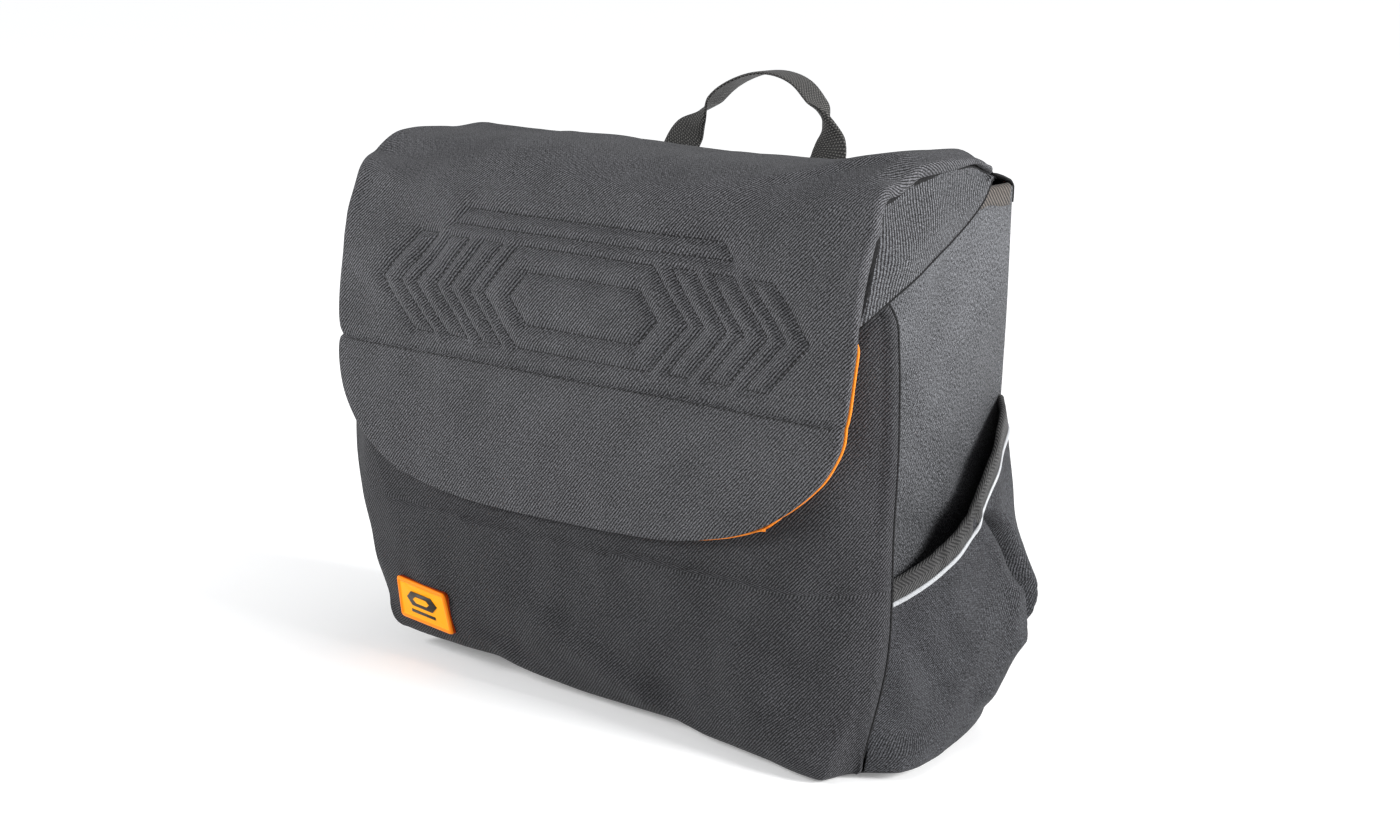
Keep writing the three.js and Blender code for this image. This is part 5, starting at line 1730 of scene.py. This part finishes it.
# the strap's middle line: x, distance behind STRAP_Y, z
STRAP = [
    (-57, 0, 309), (-55, 0, 317), (-51.5, 0, 325), (-47.2, 0.4, 333), (-42, 1.6, 341),
    (-36, 3.6, 349.5), (-29, 5.8, 358.5), (-19.5, 8.2, 368.2), (-6, 10.4, 376), (8, 11.4, 380),
    (23, 11.2, 379.8), (37.5, 9.8, 375.2), (49, 7.4, 366.5), (58.5, 4.8, 356.5),
    (63.5, 2.6, 346), (65.5, 1.2, 337.5), (64.5, 0.2, 329), (59.5, 0, 319), (57, 0, 309),
]


def strap_section(gather, turn, flip):
    half_width = 12.5 - 4.6 * gather - 1.5 * math.sin(turn)
    section = oval(half_width, 1.05 + 0.5 * gather, 30, flat=5.5)
    # a shallow trough where it is gathered
    trough = (2.4 * gather) * (section[:, 0] / half_width) ** 2 - 1.2 * gather
    section[:, 1] += flip * trough
    return section


def handle():
    path = spline([(x, STRAP_Y + y, z) for x, y, z in STRAP], 300)
    across, up = frames_along(path, (0, 1, 0))
    arc = path_arc(path)
    mid = arc[-1] / 2
    from_mid = np.abs(arc - mid)
    # the webbing turns a quarter between its sewn ends and the grip
    turn = smoothstep(mid - 34, mid - 62, from_mid) * (math.pi / 2)
    turn = np.where(arc < mid, turn, math.pi - turn)
    cos, sin = np.cos(turn)[:, None], np.sin(turn)[:, None]
    gather = bell((from_mid - (mid - 47)) / 11)
    n = len(path)
    flips = [1 if k / (n - 1) < 0.5 else -1 for k in range(n)]
    sections = np.array([strap_section(*station) for station in zip(gather, turn, flips)])
    ob = sweep("handle_webbing_loop", path, across * cos + up * sin, -across * sin + up * cos,
               sections, M["web"])
    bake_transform(ob)
    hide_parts("handle_loop", "handle_end_left", "handle_end_right")


def back_stitches(points, **options):
    return stitches(points, np.tile([0, 1.0, 0], (len(points), 1)), **options)


def back_stitching():
    runs = []
    # crossed boxes on the handle's sewn ends
    y, z0, z1, half_width = STRAP_Y + 1.0, 310.5, 326.5, 10.2
    for middle in (-HANDLE_X, HANDLE_X):
        left, right = middle - half_width, middle + half_width
        corners = [(left, y, z0), (right, y, z0), (right, y, z1), (left, y, z1)]
        for a, b in ((0, 1), (1, 2), (2, 3), (3, 0), (0, 2), (3, 1)):
            line = np.linspace(corners[a], corners[b], 20)
            runs.append(back_stitches(line, length=2.2, gap=0.8, lift=0.05))
    # topstitching round the back panel
    y = BACK_Y - 0.25
    z = np.linspace(14, 318, 200)
    for side in (-1, 1):
        line = np.c_[side * (half_w(z) - 9), np.full(200, y), z]
        runs.append(back_stitches(line, lift=0.15))
    runs.append(back_stitches(np.linspace((-160, y, 12.0), (160, y, 12.0), 200), lift=0.15))
    finish_soft(joined("back_stitching", runs), "bag_body", "webbing")


handle()
back_stitching()

# -------------------------------------------------------------------- label
# corners (x, z), clockwise from upper left
LABEL = np.array([(-159.8, 53.5), (-111.2, 51.9), (-108.8, 23.6), (-162.0, 24.0)])
LABEL_MID = LABEL.mean(0)
FACE = 1.4  # height of the label's face above its fitted surface
# the label's edge from the back out and over on to the face: inset, height, corner radius
LABEL_RINGS = [
    (0.0, -2.2, 3.2), (0.0, 0.1, 3.2), (-0.1, 0.9, 3.2), (0.15, 1.7, 3.2), (0.7, 2.25, 3.2),
    (1.5, 2.45, 3), (2.3, 2.25, 3), (2.8, 1.75, 3), (3.2, 1.45, 2.8), (4.0, FACE, 2.6),
]


def label_point(u, v):
    """(x, z) at shares across and up the label."""
    return (1 - u) * ((1 - v) * LABEL[3] + v * LABEL[0]) + u * ((1 - v) * LABEL[2] + v * LABEL[1])


def label_terms(x, z):
    x = np.asarray(x, float) - LABEL_MID[0]
    return np.stack([np.ones_like(x), x, z - LABEL_MID[1], x**2], -1)


def fit_label():
    """The label's surface: curved across, straight up, laid just clear of the cloth."""
    u, v = np.meshgrid(np.linspace(0, 1, 14), np.linspace(0, 1, 10))
    points = label_point(u.ravel()[:, None], v.ravel()[:, None])
    ys = np.array([front_y(x, z) for x, z in points])
    terms = label_terms(points[:, 0], points[:, 1])
    fit = np.linalg.lstsq(terms, ys, rcond=None)[0]
    fit[0] += float(np.percentile(ys - terms @ fit, 4)) - 0.15
    return fit


label_fit = fit_label()


def on_label(xz, height):
    """Points (x, z) set a height in front of the label's surface."""
    x, z = np.asarray(xz, float).T
    return np.stack([x, label_terms(x, z) @ label_fit - height, z], -1)


def corner_dirs(corners, i):
    """A corner and the unit directions from it to its neighbours."""
    p, before, after = corners[i], corners[i - 1], corners[(i + 1) % len(corners)]
    return p, unit(before - p), unit(after - p)


def label_ring(inset, height, radius):
    corners = []
    for i in range(4):  # offset the outline inwards by an even amount
        p, u, w = corner_dirs(LABEL, i)
        corners.append(p + (u + w) * inset / abs(u[0] * w[1] - u[1] * w[0]))
    radius = max(radius - inset * 0.6, 0.6)
    outline = []
    for i in range(4):
        p, u, w = corner_dirs(corners, i)
        q0, q1 = p + u * radius, p + w * radius
        for t in np.linspace(0, 1, 7):
            outline.append((1 - t) ** 2 * q0 + 2 * t * (1 - t) * p + t * t * q1)
    return on_label(outline, height)


def label_patch():
    rings = [label_ring(*ring) for ring in LABEL_RINGS]
    face_edge = rings[-1][:, [0, 2]]
    for share in (0.75, 0.5, 0.25):
        rings.append(on_label(LABEL_MID + (face_edge - LABEL_MID) * share, FACE))
    count, n = len(rings), len(rings[0])
    tips = [on_label([LABEL_MID], FACE), on_label([LABEL_MID], -2.2)]
    verts = np.concatenate(rings + tips)
    faces, face_mats = [], []
    for r in range(count - 1):
        for i in range(n):
            j = (i + 1) % n
            faces.append([r * n + i, r * n + j, (r + 1) * n + j, (r + 1) * n + i])
            face_mats.append(2 if r < 2 else 1 if r < 7 else 0)
    for i in range(n):
        j = (i + 1) % n
        faces.append([(count - 1) * n + i, (count - 1) * n + j, count * n])
        faces.append([j, i, count * n + 1])
        face_mats += [0, 1]
    mats = [M["label"], M["label_edge"], M["label_side"]]
    ob = make("label_patch_rubber", verts, faces, verts[:, [0, 2]], mats, face_mats)
    fix_normals(ob)
    finish_soft(ob, "bag_body", "label_rubber", "label_patch")


def label_shape(name, outline, low, high, mat):
    """A raised shape on the label, from an outline in shares across and up it."""
    outline = np.asarray(outline, float)
    flat = label_point(outline[:, :1], outline[:, 1:])
    n = len(flat)
    faces = [[i, (i + 1) % n, n + (i + 1) % n, n + i] for i in range(n)]
    faces += [list(range(n))[::-1], [n + i for i in range(n)]]
    verts = np.concatenate([on_label(flat, low), on_label(flat, high)])
    ob = make(name, verts, faces, np.concatenate([flat, flat]), [mat], smooth=False)
    fix_normals(ob)
    return ob


def hexagon(half_width, half_height):
    x, z, shoulder = 0.5, 0.58, half_width * 0.66
    return [
        (x - half_width, z), (x - shoulder, z + half_height), (x + shoulder, z + half_height),
        (x + half_width, z), (x + shoulder, z - half_height), (x - shoulder, z - half_height),
    ]


def label_relief():
    """A long hexagon over one short bar, with a smaller hexagon on the first."""
    bar = [(0.27, 0.24), (0.73, 0.24), (0.73, 0.31), (0.27, 0.31)]
    mark = joined("label_relief", [
        label_shape("relief_hexagon", hexagon(0.30, 0.17), 1.3, 1.95, M["label_mark"]),
        label_shape("relief_bar", bar, 1.3, 1.8, M["label_mark"]),
    ])
    finish_soft(mark, "bag_body", "label_rubber")
    centre = label_shape("label_relief_centre", hexagon(0.16, 0.075), 1.9, 2.2, M["label"])
    finish_soft(centre, "bag_body", "label_rubber")


label_patch()
label_relief()

# ------------------------------------------------------------- closure pads
PAD_X, PAD_HALF, PAD_LOW, PAD_HIGH = 70, 27, 136, 160
PAD = 1.3  # thickness

for side, label in SIDES[::-1]:
    middle = side * PAD_X
    x, z = np.meshgrid(
        np.linspace(middle - PAD_HALF, middle + PAD_HALF, 28), np.linspace(PAD_LOW, PAD_HIGH, 14)
    )
    uv = np.stack([x, z], -1)
    y = np.array([[front_y(*spot) for spot in row] for row in uv])
    grid = np.stack([x, y - 1.5, z], -1)
    pad = sheet(f"loop_pad_{label}", grid, uv, [M["loop"]], (0, -1, 0), thick=PAD, rim=2)
    finish_soft(pad, "bag_body", "hook_and_loop", f"closure_loop_pad_{label}")
    # behind the flap's shell and lining
    grid = np.stack([x, low_y(z) + SHELL + 3.5, z], -1)
    pad = sheet(f"hook_pad_{label}", grid, uv, [M["hooks"]], (0, 1, 0), thick=PAD, rim=2)
    finish_soft(pad, "flap_lower", "hook_and_loop", f"closure_hook_pad_{label}")

# ----------------------------------------------------------- carried-over CAD
# material: bevel width, nodes
CAD_LOOK = {
    "rail": (0.5, ["upper_rail", "lower_rail", "upper_backing_plate", "lower_backing_plate"]),
    "board": (0.4, ["back_stiffener_board"]),
    "insert": (0.4, ["hook_left_tube_insert", "hook_right_tube_insert"]),
    "nylon": (0.9, [
        "hook_left_body", "hook_right_body", "hook_left_clamp_jaw", "hook_right_clamp_jaw",
        "latch_left_lever", "latch_right_lever", "anchor_slider", "anchor_arm",
    ]),
    "steel": (0.25, [n for n in NODES if "screw" in n or "pin" in n.split("_") or "spring" in n]),
}
for look, (bevel_width, names) in CAD_LOOK.items():
    for name in names:
        ob = NODES[name]
        ob.data.materials.clear()
        ob.data.materials.append(M[look])
        bevel = ob.modifiers.new("edges", "BEVEL")
        bevel.width = bevel_width * MM
        bevel.segments = 3
        bevel.limit_method = "ANGLE"
        bevel.angle_limit = math.radians(28)
        for poly in ob.data.polygons:
            poly.use_smooth = False
        weighted = ob.modifiers.new("weighted", "WEIGHTED_NORMAL")
        weighted.keep_sharp = True


# -------------------------------------------------------------- stage, light
def stage_floor():
    """A floor that curves up far behind. Lengths here are metres."""
    half, bend_y, strips, drop = 9.0, 5, 40, 0.0006
    verts = []
    for k in range(strips + 1):
        y = -half + 2 * half * (k / strips)
        z = 0.0 if y < bend_y else 0.05 * (y - bend_y) ** 2
        verts += [(x, y, z - drop) for x in (-half, half)]
    me = bpy.data.meshes.new("floor")
    me.from_pydata(verts, [], [(2 * k, 2 * k + 1, 2 * k + 3, 2 * k + 2) for k in range(strips)])
    for poly in me.polygons:
        poly.use_smooth = True
    n = Shader("floor_paper")
    cloud = n.noise(n.obj(), scale=3.0, detail=2.0)
    n.surface(n.mix(cloud, (0.87, 0.87, 0.87, 1), (0.9, 0.9, 0.9, 1)), rough=0.9, spec=0.1)
    # it glows brighter away from the bag
    distance = n.new("ShaderNodeVectorMath", operation="LENGTH")
    n.put(distance.inputs[0], n.obj())
    n.bsdf.inputs["Emission Color"].default_value = (1, 1, 1, 1)
    glow = n.remap(distance.outputs["Value"], span=(0.35, 1.9), to=(0.22, 0.78))
    n.put(n.bsdf.inputs["Emission Strength"], glow)
    me.materials.append(n.mat)
    floor = bpy.data.objects.new("floor", me)
    bpy.context.scene.collection.objects.link(floor)


def studio_world():
    """A dim cool surround that the camera sees as plain white."""
    world = bpy.data.worlds.new("studio")
    bpy.context.scene.world = world
    world.use_nodes = True
    tree = world.node_tree
    surround = tree.nodes["Background"]
    surround.inputs["Color"].default_value = (0.93, 0.96, 1.0, 1)
    surround.inputs["Strength"].default_value = 0.24
    seen = tree.nodes.new("ShaderNodeBackground")
    seen.inputs["Color"].default_value = (1, 1, 1, 1)
    seen.inputs["Strength"].default_value = 1.0
    light_path = tree.nodes.new("ShaderNodeLightPath")
    mix = tree.nodes.new("ShaderNodeMixShader")
    tree.links.new(light_path.outputs["Is Camera Ray"], mix.inputs[0])
    tree.links.new(surround.outputs[0], mix.inputs[1])
    tree.links.new(seen.outputs[0], mix.inputs[2])
    tree.links.new(mix.outputs[0], tree.nodes["World Output"].inputs[0])


def area(name, loc, target, size, power):
    """A square area light; metres and watts."""
    light = bpy.data.lights.new(name, "AREA")
    light.energy, light.color = power, (1, 1, 1)
    light.shape = "RECTANGLE"
    light.size = light.size_y = size
    ob = bpy.data.objects.new(name, light)
    ob.location = loc
    ob.rotation_mode = "QUATERNION"
    ob.rotation_quaternion = (Vector(target) - Vector(loc)).to_track_quat("-Z", "Y")
    bpy.context.scene.collection.objects.link(ob)


stage_floor()
studio_world()
area("key_right", loc=(2.0, 0.25, 0.95), target=(0, 0, 0.2), size=0.8, power=67)
area("left_soft", loc=(-1.15, -1.25, 1.0), target=(-0.05, 0, 0.2), size=0.7, power=30)
area("top_soft", loc=(0.2, 0.4, 2.2), target=(0, 0, 0.2), size=1.2, power=9)


# -------------------------------------------------------------------- camera
def camera(azimuth, elevation, roll, distance, target, lens):
    """Looks at target from the front right; azimuth is measured from -Y towards +X."""
    a, e, r = (math.radians(angle) for angle in (azimuth, elevation, roll))
    back = Vector((math.sin(a) * math.cos(e), -math.cos(a) * math.cos(e), math.sin(e)))
    loc = Vector(target) + back * distance
    right = (-back).cross(Vector((0, 0, 1))).normalized()
    up = right.cross(-back)
    right, up = (
        right * math.cos(r) + up * math.sin(r), -right * math.sin(r) + up * math.cos(r)
    )
    data = bpy.data.cameras.new("camera")
    data.sensor_width = 36.0
    data.lens = lens
    data.clip_start, data.clip_end = 0.05, 60
    ob = bpy.data.objects.new("camera", data)
    matrix = Matrix.Identity(4)
    for k in range(3):
        matrix[k][:] = right[k], up[k], back[k], loc[k] * MM
    ob.matrix_world = matrix
    bpy.context.scene.collection.objects.link(ob)
    bpy.context.scene.camera = ob


camera(azimuth=36.8, elevation=13.3, roll=1.3, distance=1429.0, target=(26.0, 0, 173.0),
       lens=59.631429)
bpy.context.scene.view_settings.view_transform = "Standard"
bpy.context.scene.view_settings.look = "None"
